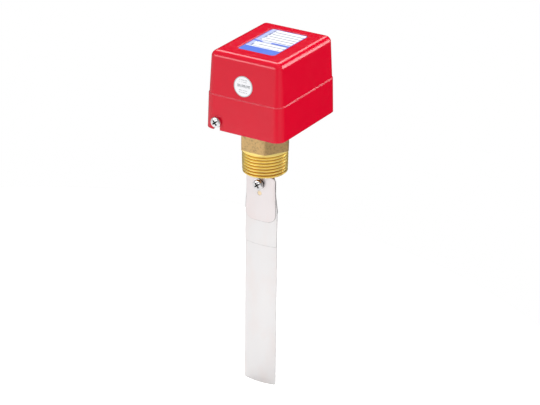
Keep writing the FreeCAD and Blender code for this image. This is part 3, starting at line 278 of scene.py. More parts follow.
def thread_form(angles, heights, pitch):
    """How deep a right-handed thread is cut, 0 on a crest and 1 in a root.

    The place within one turn is the fraction of (height / pitch - angle / one turn). From the crest
    to the root the depth is the smooth step x^2 (3 - 2x), so both are rounded.
    """
    crest_share, flank_share = 0.06, 0.86
    turns = heights[:, None] / pitch - angles[None, :] / (2 * math.pi)
    x = np.clip((2 * np.abs(turns - np.round(turns)) - crest_share) / flank_share, 0, 1)
    return x * x * (3 - 2 * x)


# ---- Shader building ----

def tint(value, factor):
    """A colour made lighter or darker by a factor."""
    return tuple(min(1.0, channel * factor) for channel in value)


def spaced(values):
    """Values by the names of sockets, where an underscore stands for a space."""
    return {name.replace("_", " "): value for name, value in values.items()}


class Graph:
    """The shader nodes of a finish, an effect or the surroundings."""
    where = None

    def __init__(self, tree):
        self.tree = tree

    def feed(self, sockets, values):
        """Sets each socket to a value, or links it from another node's output."""
        for name, value in values.items():
            if isinstance(value, bpy.types.NodeSocket):
                self.tree.links.new(value, sockets[name])
            else:
                sockets[name].default_value = value

    def add(self, kind, inputs=None, **settings):
        """Adds a node and returns its outputs."""
        made = self.tree.nodes.new(kind)
        for name, value in settings.items():
            setattr(made, name, value)
        self.feed(made.inputs, inputs or {})
        return made.outputs

    def effect(self, name, **inputs):
        """Places a shared effect."""
        return self.add("ShaderNodeGroup", spaced(inputs), node_tree=bpy.data.node_groups[name])

    def maths(self, operation, a, b=0.0, c=0.0):
        return self.add("ShaderNodeMath", {0: a, 1: b, 2: c}, operation=operation)[0]

    def times(self, a, b):
        return self.maths("MULTIPLY", a, b)

    def plus(self, a, b):
        return self.maths("ADD", a, b)

    def minus(self, a, b):
        return self.maths("SUBTRACT", a, b)

    def vectors(self, operation, a, b):
        """A sum of two vectors. A dot product gives a number, and the others give a vector."""
        output = "Value" if operation == "DOT_PRODUCT" else "Vector"
        return self.add("ShaderNodeVectorMath", {0: a, 1: b}, operation=operation)[output]

    def remap(self, value, from_low, from_high, to_low=0.0, to_high=1.0, smooth=False):
        inputs = {0: value, 1: from_low, 2: from_high, 3: to_low, 4: to_high}
        kind = "SMOOTHSTEP" if smooth else "LINEAR"
        return self.add("ShaderNodeMapRange", inputs, interpolation_type=kind)[0]

    def mix(self, factor, a, b):
        """Colour a where the factor is 0 and b where it is 1."""
        a, b = ((*value, 1.0) if isinstance(value, tuple) else value for value in (a, b))
        return self.add("ShaderNodeMix", {0: factor, 6: a, 7: b}, data_type="RGBA")[2]

    def noise(self, scale, detail=2.0, roughness=0.5, vector=None):
        """Noise over the piece's coordinates, unless another vector is given."""
        return self.add("ShaderNodeTexNoise", {
            "Vector": self.where if vector is None else vector, "Scale": scale, "Detail": detail,
            "Roughness": roughness})[0]

    def bump(self, height, distance, **normal):
        return self.add("ShaderNodeBump", {"Height": height, "Distance": distance, **normal})[0]


class Effect(Graph):
    """A shader node group that several finishes use.

    Each input is given with its default, or with None for a vector that has none. Of the outputs,
    Normal is a vector and the others are numbers.
    """

    def __init__(self, name, outputs, **inputs):
        super().__init__(bpy.data.node_groups.new(name, "ShaderNodeTree"))
        for label, default in spaced(inputs).items():
            socket = self.socket(label, "INPUT", not isinstance(default, float))
            if default is not None:
                socket.default_value = default
        for label in outputs:
            self.socket(label, "OUTPUT", label == "Normal")
        self.given = self.tree.nodes.new("NodeGroupInput").outputs
        self.out = self.tree.nodes.new("NodeGroupOutput").inputs
        self.where = self.given.get("Vector")

    def socket(self, label, side, is_vector):
        kind = "NodeSocketVector" if is_vector else "NodeSocketFloat"
        return self.tree.interface.new_socket(label, in_out=side, socket_type=kind)

    def give(self, **values):
        self.feed(self.out, values)


class Finish(Graph):
    """A material with its Principled shader, and where: the piece's coordinates in metres."""

    def __init__(self, name):
        self.material = bpy.data.materials.new(name)
        self.material.use_nodes = True
        super().__init__(self.material.node_tree)
        self.tree.nodes.clear()
        shader = self.tree.nodes.new("ShaderNodeBsdfPrincipled")
        output = self.tree.nodes.new("ShaderNodeOutputMaterial")
        self.tree.links.new(shader.outputs[0], output.inputs[0])
        self.shader = shader.inputs
        self.where = self.add("ShaderNodeTexCoord")["Object"]

    def skin(self, name, **inputs):
        """Places a shared effect that reads the piece's coordinates."""
        return self.effect(name, Vector=self.where, **inputs)

    def grain(self, scale, roughness, spread, depth):
        return self.skin("Brushed Grain", Scale=scale, Roughness=roughness, Spread=spread,
                         Depth=depth)

    def coat(self, base, skin, **others):
        """Feeds the shader its colour, the roughness and normal of an effect, and others."""
        given = {name: skin[name] for name in ("Roughness", "Normal") if name in skin}
        self.feed(self.shader, {"Base Color": base, **given, **spaced(others)})


def make_grain():
    """Brushed grain: noise drawn out along one direction."""
    grain = Effect("Brushed Grain", ("Shade", "Roughness", "Normal"), Vector=None,
                   Scale=(3000.0, 3000.0, 60.0), Roughness=0.3, Spread=0.1, Depth=0.00001)
    given = grain.given
    lines = grain.noise(1.0, 3.0, 0.6, grain.vectors("MULTIPLY", grain.where, given["Scale"]))
    cloud = grain.noise(70.0)
    centred = grain.minus(grain.plus(grain.times(lines, 0.7), grain.times(cloud, 0.3)), 0.5)
    grain.give(Shade=grain.maths("MULTIPLY_ADD", centred, 0.5, 0.5),
               Roughness=grain.maths("MULTIPLY_ADD", centred, given["Spread"], given["Roughness"]),
               Normal=grain.bump(lines, given["Depth"]))


def make_moulded():
    """Moulded skin: a slow ripple of the wall, fine orange peel, and faint handling marks."""
    skin = Effect("Moulded Skin", ("Shade", "Roughness", "Normal"), Vector=None, Ripple=0.0001,
                  Peel=0.000004, Roughness=0.2, Marks=0.1, Normal=None)
    given = skin.given
    slow = skin.noise(55.0, 1.0)
    marks = skin.remap(skin.noise(160.0, 4.0, 0.7), 0.45, 0.75, 0.0, 1.0, True)
    rippled = skin.bump(slow, given["Ripple"], Normal=given["Normal"])
    skin.give(Shade=slow, Normal=skin.bump(skin.noise(900.0), given["Peel"], Normal=rippled),
              Roughness=skin.maths("MULTIPLY_ADD", marks, given["Marks"], given["Roughness"]))


def make_forged():
    """Forged skin: scale pits of two sizes with dark spots in the pits."""
    skin = Effect("Forged Skin", ("Pits", "Cloud", "Normal"), Vector=None, Size=600.0,
                  Depth=0.0002)
    size = skin.given["Size"]
    coarse = skin.noise(size, 5.0, 0.62)
    fine = skin.noise(skin.times(size, 5.0), 3.0, 0.6)
    height = skin.maths("MULTIPLY_ADD", fine, 0.25, coarse)
    skin.give(Pits=skin.remap(coarse, 0.52, 0.30, 0.0, 1.0, True),
              Cloud=skin.noise(130.0, 3.0, 0.6), Normal=skin.bump(height, skin.given["Depth"]))


def make_edges():
    """Edge mask for wear, and for painted highlight and painted shade: 1 in patches where the
    surface bends sharply within the radius, else 0.
    """
    wear = Effect("Edge Wear And Painted Light", ("Edge", "Normal"), Vector=None, Radius=0.0004, Patches=300.0)
    soft = wear.add("ShaderNodeBevel", {"Radius": wear.given["Radius"]}, samples=4)[0]
    plain = wear.add("ShaderNodeNewGeometry")["Normal"]
    bend = wear.remap(wear.vectors("DOT_PRODUCT", soft, plain), 0.99, 0.80)
    patches = wear.remap(wear.noise(wear.given["Patches"], 4.0, 0.7), 0.30, 0.50)
    wear.give(Edge=wear.times(bend, patches), Normal=soft)


def make_block():
    """Printed block: 1 inside a rectangle given by its middle and half size, 0 outside."""
    block = Effect("Printed Block", ("Ink",), Across=0.0, Up=0.0, Middle_across=0.0,
                   Middle_up=0.0, Half_across=1.0, Half_up=1.0)
    given = block.given
    insides = []
    for way in ("across", "up"):
        offset = block.minus(given[way.capitalize()], given["Middle " + way])
        distance = block.maths("ABSOLUTE", offset)
        insides.append(block.maths("LESS_THAN", distance, given["Half " + way]))
    block.give(Ink=block.times(*insides))


def make_rows():
    """Printed rows: lines of dashes with a fixed pitch, cut into groups like blurred text."""
    rows = Effect("Printed Rows", ("Ink",), Across=0.0, Up=0.0, Pitch=2.0, Height=0.35, Dash=1.5,
                  Fill=0.5)
    given = rows.given
    row = rows.maths("DIVIDE", given["Up"], given["Pitch"])
    inside = rows.maths("LESS_THAN", rows.maths("FRACT", row), given["Height"])
    along = rows.times(given["Across"], given["Dash"])
    shift = rows.times(rows.maths("FLOOR", row), 7.31)
    place = rows.add("ShaderNodeCombineXYZ", {0: along, 1: shift})[0]
    dashes = rows.maths("GREATER_THAN", rows.noise(1.0, 2.0, 0.7, place), given["Fill"])
    rows.give(Ink=rows.times(inside, dashes))


# ---- Finishes ----

def metal(name, base, scale, roughness, spread, depth, contrast, edge=0.0004):
    """A metal with brushed grain, whose edges are a little lighter."""
    made = Finish(name)
    grain = made.grain(scale, roughness, spread, depth)
    worn = made.times(made.skin("Edge Wear And Painted Light", Radius=edge)["Edge"], 0.5)
    body = made.mix(grain["Shade"], tint(base, 1 - contrast), tint(base, 1 + contrast))
    made.coat(made.mix(worn, body, tint(base, 1.25)), grain, Metallic=1.0)


def rolled_leaf(name, base):
    """Rolled strip: faint grain along it, warm clouds, and cut edges painted dark on the right as
    painted shade.
    """
    leaf = Finish(name)
    grain = leaf.grain(LENGTHWISE, 0.30, 0.10, 0.000004)
    stretched = leaf.vectors("MULTIPLY", leaf.where, (1.0, 1.0, 0.5))
    cloud = leaf.remap(leaf.noise(60.0, 3.0, 0.6, stretched), 0.45, 0.70)
    warm = (base[0], base[1] * 0.94, base[2] * 0.92)
    rim = leaf.skin("Edge Wear And Painted Light", Radius=0.0007, Patches=60.0)
    # Painted shade: cut edges that face right are darkened, standing in for the shadow between the
    # stacked leaves.
    to_the_right = leaf.vectors("DOT_PRODUCT", rim["Normal"], (1.0, 0.0, -0.2))
    dark = leaf.times(rim["Edge"], leaf.remap(to_the_right, -0.1, 0.45, 0.30, 0.95))
    body = leaf.mix(grain["Shade"], tint(base, 0.97), tint(base, 1.03))
    body = leaf.mix(leaf.times(cloud, 0.7), body, warm)
    leaf.coat(leaf.mix(dark, body, tint(base, 0.12)), grain, Normal=rim["Normal"], Metallic=0.75)


def red_cover(base):
    """Glossy moulding whose edges are rounder than its faces, with a pale pink painted highlight
    along them.
    """
    cover = Finish("Red moulded cover")
    wear = cover.skin("Edge Wear And Painted Light", Radius=0.0011, Patches=90.0)
    skin = cover.skin("Moulded Skin", Ripple=0.00014, Peel=0.000002, Roughness=0.17, Marks=0.06,
                      Normal=wear["Normal"])
    body = cover.mix(skin["Shade"], tint(base, 0.97), tint(base, 1.03))
    # The pale pink mixed in along the edges is a painted highlight: the shine of the rounded edges
    # and the step line.
    cover.coat(cover.mix(cover.times(wear["Edge"], 0.6), body, (0.90, 0.17, 0.22)), skin)


def forged_brass(base, bright):
    """Dull, pitted skin with brighter rubbed edges."""
    brass = Finish("Forged brass")
    skin = brass.skin("Forged Skin", Size=620.0, Depth=0.00020)
    wear = brass.skin("Edge Wear And Painted Light", Radius=0.0006, Patches=400.0)
    cloudy = brass.mix(skin["Cloud"], tint(base, 0.75), tint(base, 1.25))
    pitted = brass.mix(brass.times(skin["Pits"], 0.55), cloudy, tint(base, 0.35))
    brass.coat(brass.mix(wear["Edge"], pitted, bright), skin, Metallic=1.0,
               Roughness=brass.remap(skin["Cloud"], 0.3, 0.7, 0.42, 0.60))


def cut_thread(base):
    """Turned brass painted darker from the crests to the roots of the thread as painted shade, with
    crests tinted paler and creamier, partly as a painted highlight.

    The depth is read from the distance to the fitting's axis, the square root of x^2 + y^2.
    """
    root_r, crest_r = 0.0152, 0.0158
    red, green, blue = base
    thread = Finish("Cut thread")
    grain = thread.grain(RINGS, 0.30, 0.10, 0.000006)
    flat = thread.vectors("MULTIPLY", thread.where, (1.0, 1.0, 0.0))
    radius = thread.add("ShaderNodeVectorMath", {0: flat}, operation="LENGTH")["Value"]
    # The paler, creamier crest tints are partly a painted highlight.
    crest = thread.mix(grain["Shade"], (red, green * 1.03, blue * 0.80),
                       (red, green * 1.13, blue * 1.40))
    # Painted shade: the roots of the thread are darkened.
    painted_root_shade = (red * 0.52, green * 0.27, blue * 0.02)
    height = thread.remap(radius, root_r, crest_r, 0.0, 1.0, True)
    thread.coat(thread.mix(height, painted_root_shade, crest), grain, Metallic=0.7)


def plastic(name, base, roughness, peel=0.00001, speckle=0.0):
    """A dull moulding, with speckle where its filler shows."""
    made = Finish(name)
    skin = made.skin("Moulded Skin", Ripple=0.00002, Peel=peel, Roughness=roughness, Marks=0.15)
    worn = made.times(made.skin("Edge Wear And Painted Light", Radius=0.0003)["Edge"], 0.4)
    dots = made.remap(made.noise(2500.0), 0.55, 0.7, 0.0, speckle)
    body = made.mix(skin["Shade"], tint(base, 0.85), tint(base, 1.15))
    body = made.mix(dots, body, (0.3, 0.28, 0.25))
    made.coat(made.mix(worn, body, tint(base, 2.2)), skin)


class Label(Finish):
    """A printed finish. spot is millimetres from the label's middle, across it and up it."""

    def __init__(self, name, node, up):
        super().__init__(name)
        centre = middle(node) * MM
        parts = self.add("ShaderNodeSeparateXYZ", {0: self.where})
        self.spot = [self.times(self.minus(parts[axis], centre[axis]), 1 / MM)
                     for axis in (0, up)]

    def block(self, centre, half):
        """1 inside a rectangle given by its middle and half size."""
        return self.effect("Printed Block", Across=self.spot[0], Up=self.spot[1],
                           Middle_across=centre[0], Middle_up=centre[1], Half_across=half[0],
                           Half_up=half[1])["Ink"]

    def rows(self, within, pitch, height, dash, fill, upright=False):
        """Rows of dashes inside a block. The height is a share of the pitch."""
        across, up = reversed(self.spot) if upright else self.spot
        dashes = self.effect("Printed Rows", Across=across, Up=up, Pitch=pitch, Height=height,
                             Dash=dash, Fill=fill)["Ink"]
        return self.times(dashes, within)


def printed_label(ink):
    """White film: a blue frame and front band, a pale column at the left, rows of grey dashes."""
    label = Label("Printed label", "name_label", 1)
    half_x, half_y = (high("name_label") - low("name_label"))[:2] / 2
    margin, page_y, bar_y = 0.7, 4.6, -2.2
    paper, grey, navy = (0.90, 0.92, 0.96), (0.16, 0.17, 0.26), (0.03, 0.05, 0.28)
    page = label.block((2.6, page_y), (11.4, 17.4))
    strip = label.block((-10.4, page_y), (0.8, 17.4))
    body = paper
    for mask, strength, hue in (
            (label.rows(page, 1.47, 0.45, 0.8, 0.52), 0.30, grey),
            (label.rows(page, 4.4, 0.28, 0.04, 0.30), 0.80, grey),
            (label.block((-12.6, page_y), (1.5, 17.6)), 0.55, ink),
            (label.rows(strip, 40.0, 1.0, 0.9, 0.48, True), 0.90, navy),
            (label.block((0.0, bar_y), (half_x, 1.25)), 1.00, ink),
            (label.block((-3.6, bar_y), (3.6, 1.3)), 0.62, paper)):
        body = label.mix(label.times(mask, strength), body, hue)
    inside = label.block((0.0, page_y), (half_x - margin, half_y - margin - page_y))
    skin = label.skin("Moulded Skin", Ripple=0.00003, Peel=0.000002, Roughness=0.28, Marks=0.12)
    label.coat(label.mix(inside, ink, body), skin, Specular_IOR_Level=0.35)


def silver_sticker():
    """Silvery disc with a fine ring near its rim and a few short rows of dashes."""
    sticker = Label("Silver sticker", "round_label", 2)
    ring_r, ring_half_width = 7.2, 0.30
    squares = [sticker.times(way, way) for way in sticker.spot]
    from_ring = sticker.minus(sticker.maths("SQRT", sticker.plus(*squares)), ring_r)
    faint = sticker.maths("LESS_THAN", sticker.maths("ABSOLUTE", from_ring), ring_half_width)
    for centre, half in (((0.0, 3.9), (3.2, 1.3)), ((0.0, -3.6), (3.4, 1.5))):
        faint = sticker.plus(faint, sticker.rows(sticker.block(centre, half), 1.5, 0.35, 1.1, 0.46))
    bold = sticker.rows(sticker.block((0.4, 0.5), (5.2, 1.1)), 0.85, 0.55, 0.75, 0.42)
    ink = sticker.plus(sticker.times(bold, 0.90), sticker.times(faint, 0.50))
    grain = sticker.grain(STICKER_LINES, 0.3, 0.1, 0.000002)
    film = sticker.mix(grain["Shade"], (0.86, 0.87, 0.90), (0.98, 0.98, 1.0))
    dark = (0.10, 0.11, 0.13)
    sticker.coat(sticker.mix(sticker.maths("MINIMUM", ink, 1.0), film, dark), grain, Metallic=0.35)


# ---- Turned pieces ----

def hexagon_radius(angles, flats):
    """Radius of a hexagon with slightly rounded corners and flats in front and behind.

    One over the p-th root of the sum of |cosine of the angle to each pair of flats| to the power p,
    times half the distance across flats. The higher p is, the sharper the corners are.
    """
    power = 60.0
    to_flats = angles[:, None] - np.radians([30.0, 90.0, 150.0])[None, :]
    return flats / 2 / (np.abs(np.cos(to_flats)) ** power).sum(1) ** (1 / power)


def fitting_grid(sizes):
    """Closed section of the brass fitting, carried once round its axis.

    Going round the section: up the thread, whose radius is the tapered crest less the thread's
    depth, over the shoulder, up the hexagon under a cone that bevels its foot, in to the spigot,
    and down through the chamber and the bore. Returns the points and each row's finish, 0 for
    turned and 1 for forged.
    """
    angles = circle(240)
    floor, top = low("pipe_fitting")[2], high("pipe_fitting")[2]
    corner = high("pipe_fitting")[0]
    slope = math.tan(math.pi / 6)
    flats = 2 * corner * math.cos(math.pi / 6)
    hexagon = hexagon_radius(angles, flats)
    waist = flats / 2 - HEXAGON_LEDGE
    hexagon_top = low("fitting_gasket")[2]
    heights = np.linspace(floor, THREAD_TOP, 200)
    crest = np.minimum(GAUGE_R + (heights - GAUGE_Z) * TAPER, THREAD_R)
    lead_in = THREAD_R - sizes.thread_bevel + (heights - floor)
    fade = np.clip((THREAD_TOP - heights) / RUN_OUT, 0, 1)
    cut = thread_form(angles, heights, sizes.thread_pitch) * fade[:, None]
    thread = np.minimum(crest[:, None] - sizes.thread_depth * cut, lead_in[:, None])
    bevel_z = np.linspace(0, (corner - waist) * slope, 16)
    bevel = np.minimum(hexagon[None, :], waist + bevel_z[:, None] / slope)
    side_z = np.linspace(bevel_z[-1], hexagon_top - sizes.hexagon_round, 8)[1:]
    side = np.repeat(hexagon[None, :], len(side_z), 0)
    bend = np.linspace(0, math.pi / 2, 5)[1:]
    top_z = hexagon_top - sizes.hexagon_round * (1 - np.sin(bend))
    top_r = hexagon[None, :] - sizes.hexagon_round * (1 - np.cos(bend))[:, None]
    seat, chamber_floor = low("clamp_ring")[2] - RIM_THICKNESS, -sizes.chamber_floor
    inside = rounded([(SPIGOT_R, hexagon_top), (SPIGOT_R, top), (COUNTERBORE_R, top),
                      (COUNTERBORE_R, seat), (sizes.chamber, seat), (sizes.chamber, chamber_floor),
                      (sizes.bore, chamber_floor), (sizes.bore, floor)], 0.3)
    neck = np.array([[NECK_R, NECK_BOTTOM], [NECK_R, 0.0]])
    radius = np.vstack([thread, np.repeat(neck[:, :1], len(angles), 1), bevel, side, top_r,
                        np.repeat(inside[:, :1], len(angles), 1)])
    height = np.concatenate([heights, neck[:, 1], bevel_z, side_z, top_z, inside[:, 1]])
    forged = np.zeros(len(height), int)
    start = len(heights) + len(neck) + len(bevel_z) - 1
    forged[start:start + len(side_z) + len(bend) + 1] = 1
    return turn(angles, radius, height), forged


def cross_outline(angles, length, width):
    """Outline of a cross: ((cosine / length)^p + (sine / width)^p)^(-1/p).

    The angle is taken from the nearest arm.
    """
    from_arm = (angles + math.pi / 4) % (math.pi / 2) - math.pi / 4
    power = 7.0
    along, aside = np.cos(from_arm) / length, np.abs(np.sin(from_arm)) / width
    return (along ** power + aside ** power) ** (-1 / power)


def screw_grid(size, reach, pitch, turned):
    """Pan-head screw with a cross recess, seated at the origin with its shank down.

    Each row is a closed line round the axis. Its radius lies between a circle's and the recess's
    outline, so the rows pass from the round head to the cross without a step. With a pitch, the
    shank carries a thread. Returns the points and each row's finish, 1 for the recess and else 0.
    """
    thread, head, height = size
    angles = circle(96 if pitch else 72)
    ones = np.ones(len(angles))
    cross = cross_outline(angles + turned, head * 0.56, head * 0.13)
    tip = min(0.35, thread * 0.2)
    rim, crown = 0.15, height * 0.42
    lines = [(0 * ones, -reach), ((thread - tip) * ones, -reach), (thread * ones, -reach + tip)]
    if pitch:
        shank_z = np.linspace(-reach + tip, -pitch, int(8 * (reach - pitch - tip) / pitch))
        cut = thread_form(angles, shank_z, pitch) * 0.54 * pitch
        lines += list(zip(thread - cut, shank_z))
    lines += [(thread * ones, 0.0), ((head - rim) * ones, 0.0), (head * ones, rim),
              (head * ones, crown)]
    flat = head - crown
    lines += [((flat + crown * math.cos(t)) * ones, crown + crown * math.sin(t))
              for t in np.linspace(0, math.pi / 2, 8)[1:]]
    for share in (0.75, 0.5, 0.25, 0.0):
        edge = cross + (np.maximum(flat, cross * 1.05) - cross) * share
        lines.append((edge, height * (1 - 0.16 * share)))
    last_of_head, depth = len(lines) - 1, height * 0.75
    for scale, part in ((0.97, 0.06), (0.90, 0.35), (0.72, 0.7), (0.35, 0.93), (0.0, 1.0)):
        lines.append((cross * scale, height - depth * part))
    recess = (np.arange(len(lines)) > last_of_head).astype(int)
    radius, heights = (np.array(values) for values in zip(*lines))
    return turn(angles, radius, heights), recess


def screws(node, seats, size, reach, body, finish="Bright screw", pitch=0.0):
    """A group of equal screws, each given by its seat and the way its head points."""
    name = node + "_cross"
    meshes = []
    for index, (origin, axis) in enumerate(seats):
        grid, recess = screw_grid(size, reach, pitch, turned=0.9 + 0.7 * index)
        meshes.append(surface(name, aimed(grid, origin, axis), material_rows=recess))
    piece(name, join(name, meshes), body, (finish, "Screw recess painted shade"), (node,), 40)


def swept(path, tangent, section):
    """A closed section of (out, up) offsets carried along a path that runs round the Z axis.

    Each point is the path's point plus out times the level direction away from the axis plus up
    times the direction square to both. The end sections are drawn in to their middles.
    """
    outward = path * [1, 1, 0]
    outward = outward / np.linalg.norm(outward, axis=1, keepdims=True)
    upward = np.cross(tangent, outward)
    upward = upward / np.linalg.norm(upward, axis=1, keepdims=True)
    upward = upward * np.sign(upward[:, 2:])
    grid = (path[:, None] + section[None, :, :1] * outward[:, None]
            + section[None, :, 1:] * upward[:, None])
    ends = [grid[0] * 0 + grid[0].mean(0), grid[-1] * 0 + grid[-1].mean(0)]
    return np.concatenate([ends[:1], grid, ends[1:]])


# ---- Operators ----

class SwitchOperator:
    """What the operators share."""
    bl_options = {"REGISTER", "UNDO"}


class FLOWSWITCH_OT_finishes(SwitchOperator, bpy.types.Operator):
    """Make the shared surface effects and the finishes"""
    bl_idname = "flow_switch.finishes"
    bl_label = "Finishes"

    def execute(self, context):
        for make in (make_grain, make_moulded, make_forged, make_edges, make_block, make_rows):
            make()
        hues = context.scene.flow_switch_colours
        turned, stainless, zinc = tuple(hues.turned), tuple(hues.stainless), tuple(hues.zinc)
        red_cover(tuple(hues.cover))
        forged_brass(tuple(hues.forged), turned)
        cut_thread(turned)
        rolled_leaf("Rolled leaf", tint(stainless, 0.90))
        # The short leaf's pink tint is a painted reflection of the red cover.
        rolled_leaf("Leaf with painted cover reflection", (0.80, 0.745, 0.745))
        # Name, colour, grain, roughness, spread, depth, contrast, radius of the edges
        metal("Turned brass", tint(turned, 0.88), RINGS, 0.26, 0.10, 0.000008, 0.12)
        metal("Stainless bar", stainless, BAR_RINGS, 0.20, 0.10, 0.000003, 0.10)
        metal("Zinc plate", zinc, PLATED, 0.34, 0.16, 0.000012, 0.14)
        metal("Pale brass", (0.88, 0.70, 0.46), FINE, 0.28, 0.10, 0.000006, 0.12, 0.0002)
        metal("Bright screw", tint(zinc, 1.1), FINE, 0.16, 0.10, 0.000006, 0.14, 0.0002)
        metal("Stainless screw", tint(stainless, 0.78), FINE, 0.15, 0.08, 0.000005, 0.1, 0.0002)
        # The split washer is near-black as painted shade beside the paddle screw's head.
        metal("Washer painted dark as shade", (0.16, 0.155, 0.15), FINE, 0.22, 0.08, 0.000005, 0.20, 0.0002)
        # The near-black recess finish is painted shade inside the cross recess.
        metal("Screw recess painted shade", (0.03, 0.028, 0.025), FINE, 0.45, 0.10, 0.000006, 0.14, 0.0001)
        metal("Spring steel", (0.34, 0.34, 0.36), DRAWN, 0.28, 0.12, 0.000006, 0.15, 0.0002)
        metal("Bellows bronze", (0.76, 0.50, 0.24), DRAWN, 0.30, 0.12, 0.000008, 0.15, 0.0002)
        plastic("Black case", (0.030, 0.030, 0.033), 0.42, 0.00003, 0.10)
        plastic("Bush rubber", (0.022, 0.022, 0.023), 0.68, 0.00006, 0.03)
        plastic("Red plunger", (0.55, 0.02, 0.02), 0.30)
        plastic("Gasket fibre", (0.16, 0.17, 0.17), 0.80, 0.00012, 0.35)
        printed_label(tuple(hues.label))
        silver_sticker()
        return {"FINISHED"}


class FLOWSWITCH_OT_solids(SwitchOperator, bpy.types.Operator):
    """Dress the solids that keep their own shape"""
    bl_idname = "flow_switch.solids"
    bl_label = "Cover, Plates and Leaves"

    DRESS = {
        "Red moulded cover": ("cover",),
        "Printed label": ("name_label",),
        "Silver sticker": ("round_label",),
        # Pink tint on the short leaf is a painted reflection of the red cover.
        "Leaf with painted cover reflection": ("short_leaf",),
        "Rolled leaf": ("medium_leaf", "long_leaf"),
        "Pale brass": ("locating_pin",),
        "Turned brass": ("paddle_holder", "bellows_end", "clamp_ring", "ground_washer",
                         "pivot_spacers", "pivot_block", "terminal_plates"),
        "Stainless bar": ("stem", "pivot_pin", "stop_pin", "flat_washer", "actuator_screw"),
        "Zinc plate": ("base_plate", "chassis_bracket", "rocker", "switch_bracket", "spring_cup",
                       "range_screw", "range_nut", "actuator_nut"),
        "Spring steel": ("pivot_clip",),
        "Black case": ("switch_case",),
        "Red plunger": ("switch_plunger",),
        "Gasket fibre": ("fitting_gasket",),
    }

    def execute(self, context):
        for finish, nodes in self.DRESS.items():
            for node in nodes:
                materials = NODES[node].data.materials
                materials.clear()
                materials.append(bpy.data.materials[finish])
        return {"FINISHED"}


class FLOWSWITCH_OT_fitting(SwitchOperator, bpy.types.Operator):
    """Build the brass fitting with its hexagon and tapered pipe thread"""
    bl_idname = "flow_switch.fitting"
    bl_label = "Brass Fitting"

    def execute(self, context):
        grid, forged = fitting_grid(context.scene.flow_switch_sizes)
        name = "brass_fitting"
        mesh = surface(name, grid, ring=True, material_rows=forged)
        piece(name, mesh, "base", ("Cut thread", "Forged brass"),
              ("pipe_fitting",), 40)
        return {"FINISHED"}


class FLOWSWITCH_OT_screws(SwitchOperator, bpy.types.Operator):
    """Build the cross-recessed screws"""
    bl_idname = "flow_switch.screws"
    bl_label = "Screws"

    # Node, size, reach under the head, screws along X and along Y, body
    UPRIGHT = (("fitting_screws", M3, 6.0, 2, 2, "base"),
               ("chassis_screws", M3, 2.7, 2, 2, "base"),
               ("rocker_screw", M4, 7.0, 1, 1, "paddle_arm"),
               ("ground_screw", M4, 4.0, 1, 1, "base"),
               ("terminal_screws", M3, 5.0, 3, 1, "base"))

    def execute(self, context):
        first, last = low("paddle_screw"), high("paddle_screw")
        seat = (0.0, first[1] + M4.height, middle("paddle_screw")[2])
        screws("paddle_screw", [(seat, (0, -1, 0))], M4, last[1] - seat[1], "paddle_arm",
               "Stainless screw", SMALL_THREAD_PITCH)
        first, last = low("cover_screws"), high("cover_screws")
        level = middle("cover_screws")[2]
        front = (first[0] + M4.head, first[1] + M4.height, level)
        rear = (last[0] - M4.head, last[1] - M4.height, level)
        reach = low("base_plate")[1] + PLATE_THICKNESS + COVER_SCREW_GRIP - front[1]
        screws("cover_screws", [(front, (0, -1, 0)), (rear, (0, 1, 0))], M4, reach, "base",
               pitch=SMALL_THREAD_PITCH)
        for row in self.UPRIGHT:
            self.upright(*row)
        first, last = low("switch_screws"), high("switch_screws")
        seat, level = last[1] - M3.height, middle("switch_screws")[2]
        places = [((x, seat, level), (0, 1, 0)) for x in (first[0] + M3.head, last[0] - M3.head)]
        screws("switch_screws", places, M3, seat - first[1], "base")
        return {"FINISHED"}

    def upright(self, node, size, reach, columns, rows, body):
        """Screws whose heads point up, in a grid that fills their solids' box.

        The places are rounded to 0.05, because round heads are measured on their facets. Of the
        fitting's screws, the rear two stand on the switch plate, one thickness higher.
        """
        seat = high(node)[2] - size.height
        drop = SWITCH_PLATE_THICKNESS if node == "fitting_screws" else 0.0
        first, last = low(node) + size.head, high(node) - size.head
        x_places, y_places = (np.round(np.linspace(first[way], last[way], count) * 20) / 20
                              for way, count in ((0, columns), (1, rows)))
        seats = [((x, y, seat - (drop if y < 0 else 0.0)), (0, 0, 1))
                 for x in x_places for y in y_places]
        screws(node, seats, size, reach, body)


class FLOWSWITCH_OT_spring_washer(SwitchOperator, bpy.types.Operator):
    """Build the split washer under the paddle's screw"""
    bl_idname = "flow_switch.spring_washer"
    bl_label = "Spring Washer"

    def execute(self, context):
        """A rounded rectangle carried nearly once round, rising a little from end to end.

        The section is the superellipse (sign cos |cos t|^0.35, sign sin |sin t|^0.35).
        """
        gap, lift = 0.09, 0.05
        radius = (high("spring_washer")[0] - low("spring_washer")[0]) / 2
        thickness = high("spring_washer")[1] - low("spring_washer")[1]
        angles = np.linspace(gap, 2 * math.pi - gap, 90)
        rise = (angles / math.pi - 1) * lift
        mean = (radius + WASHER_BORE_R) / 2
        path = np.stack([mean * np.cos(angles), mean * np.sin(angles), thickness / 2 + rise], 1)
        tangent = np.stack([-np.sin(angles), np.cos(angles), 0 * angles], 1)
        half = np.array([(radius - WASHER_BORE_R) / 2, thickness / 2 - lift])
        t = circle(28)
        corner = np.stack([np.cos(t), np.sin(t)], 1)
        section = np.sign(corner) * np.abs(corner) ** 0.35
        origin = (0.0, high("spring_washer")[1], middle("spring_washer")[2])
        grid = aimed(swept(path, tangent, section * half), origin, (0, -1, 0))
        mesh = surface("split_washer", grid)
        piece("split_washer", mesh, "paddle_arm", ("Washer painted dark as shade",), ("spring_washer",))
        return {"FINISHED"}


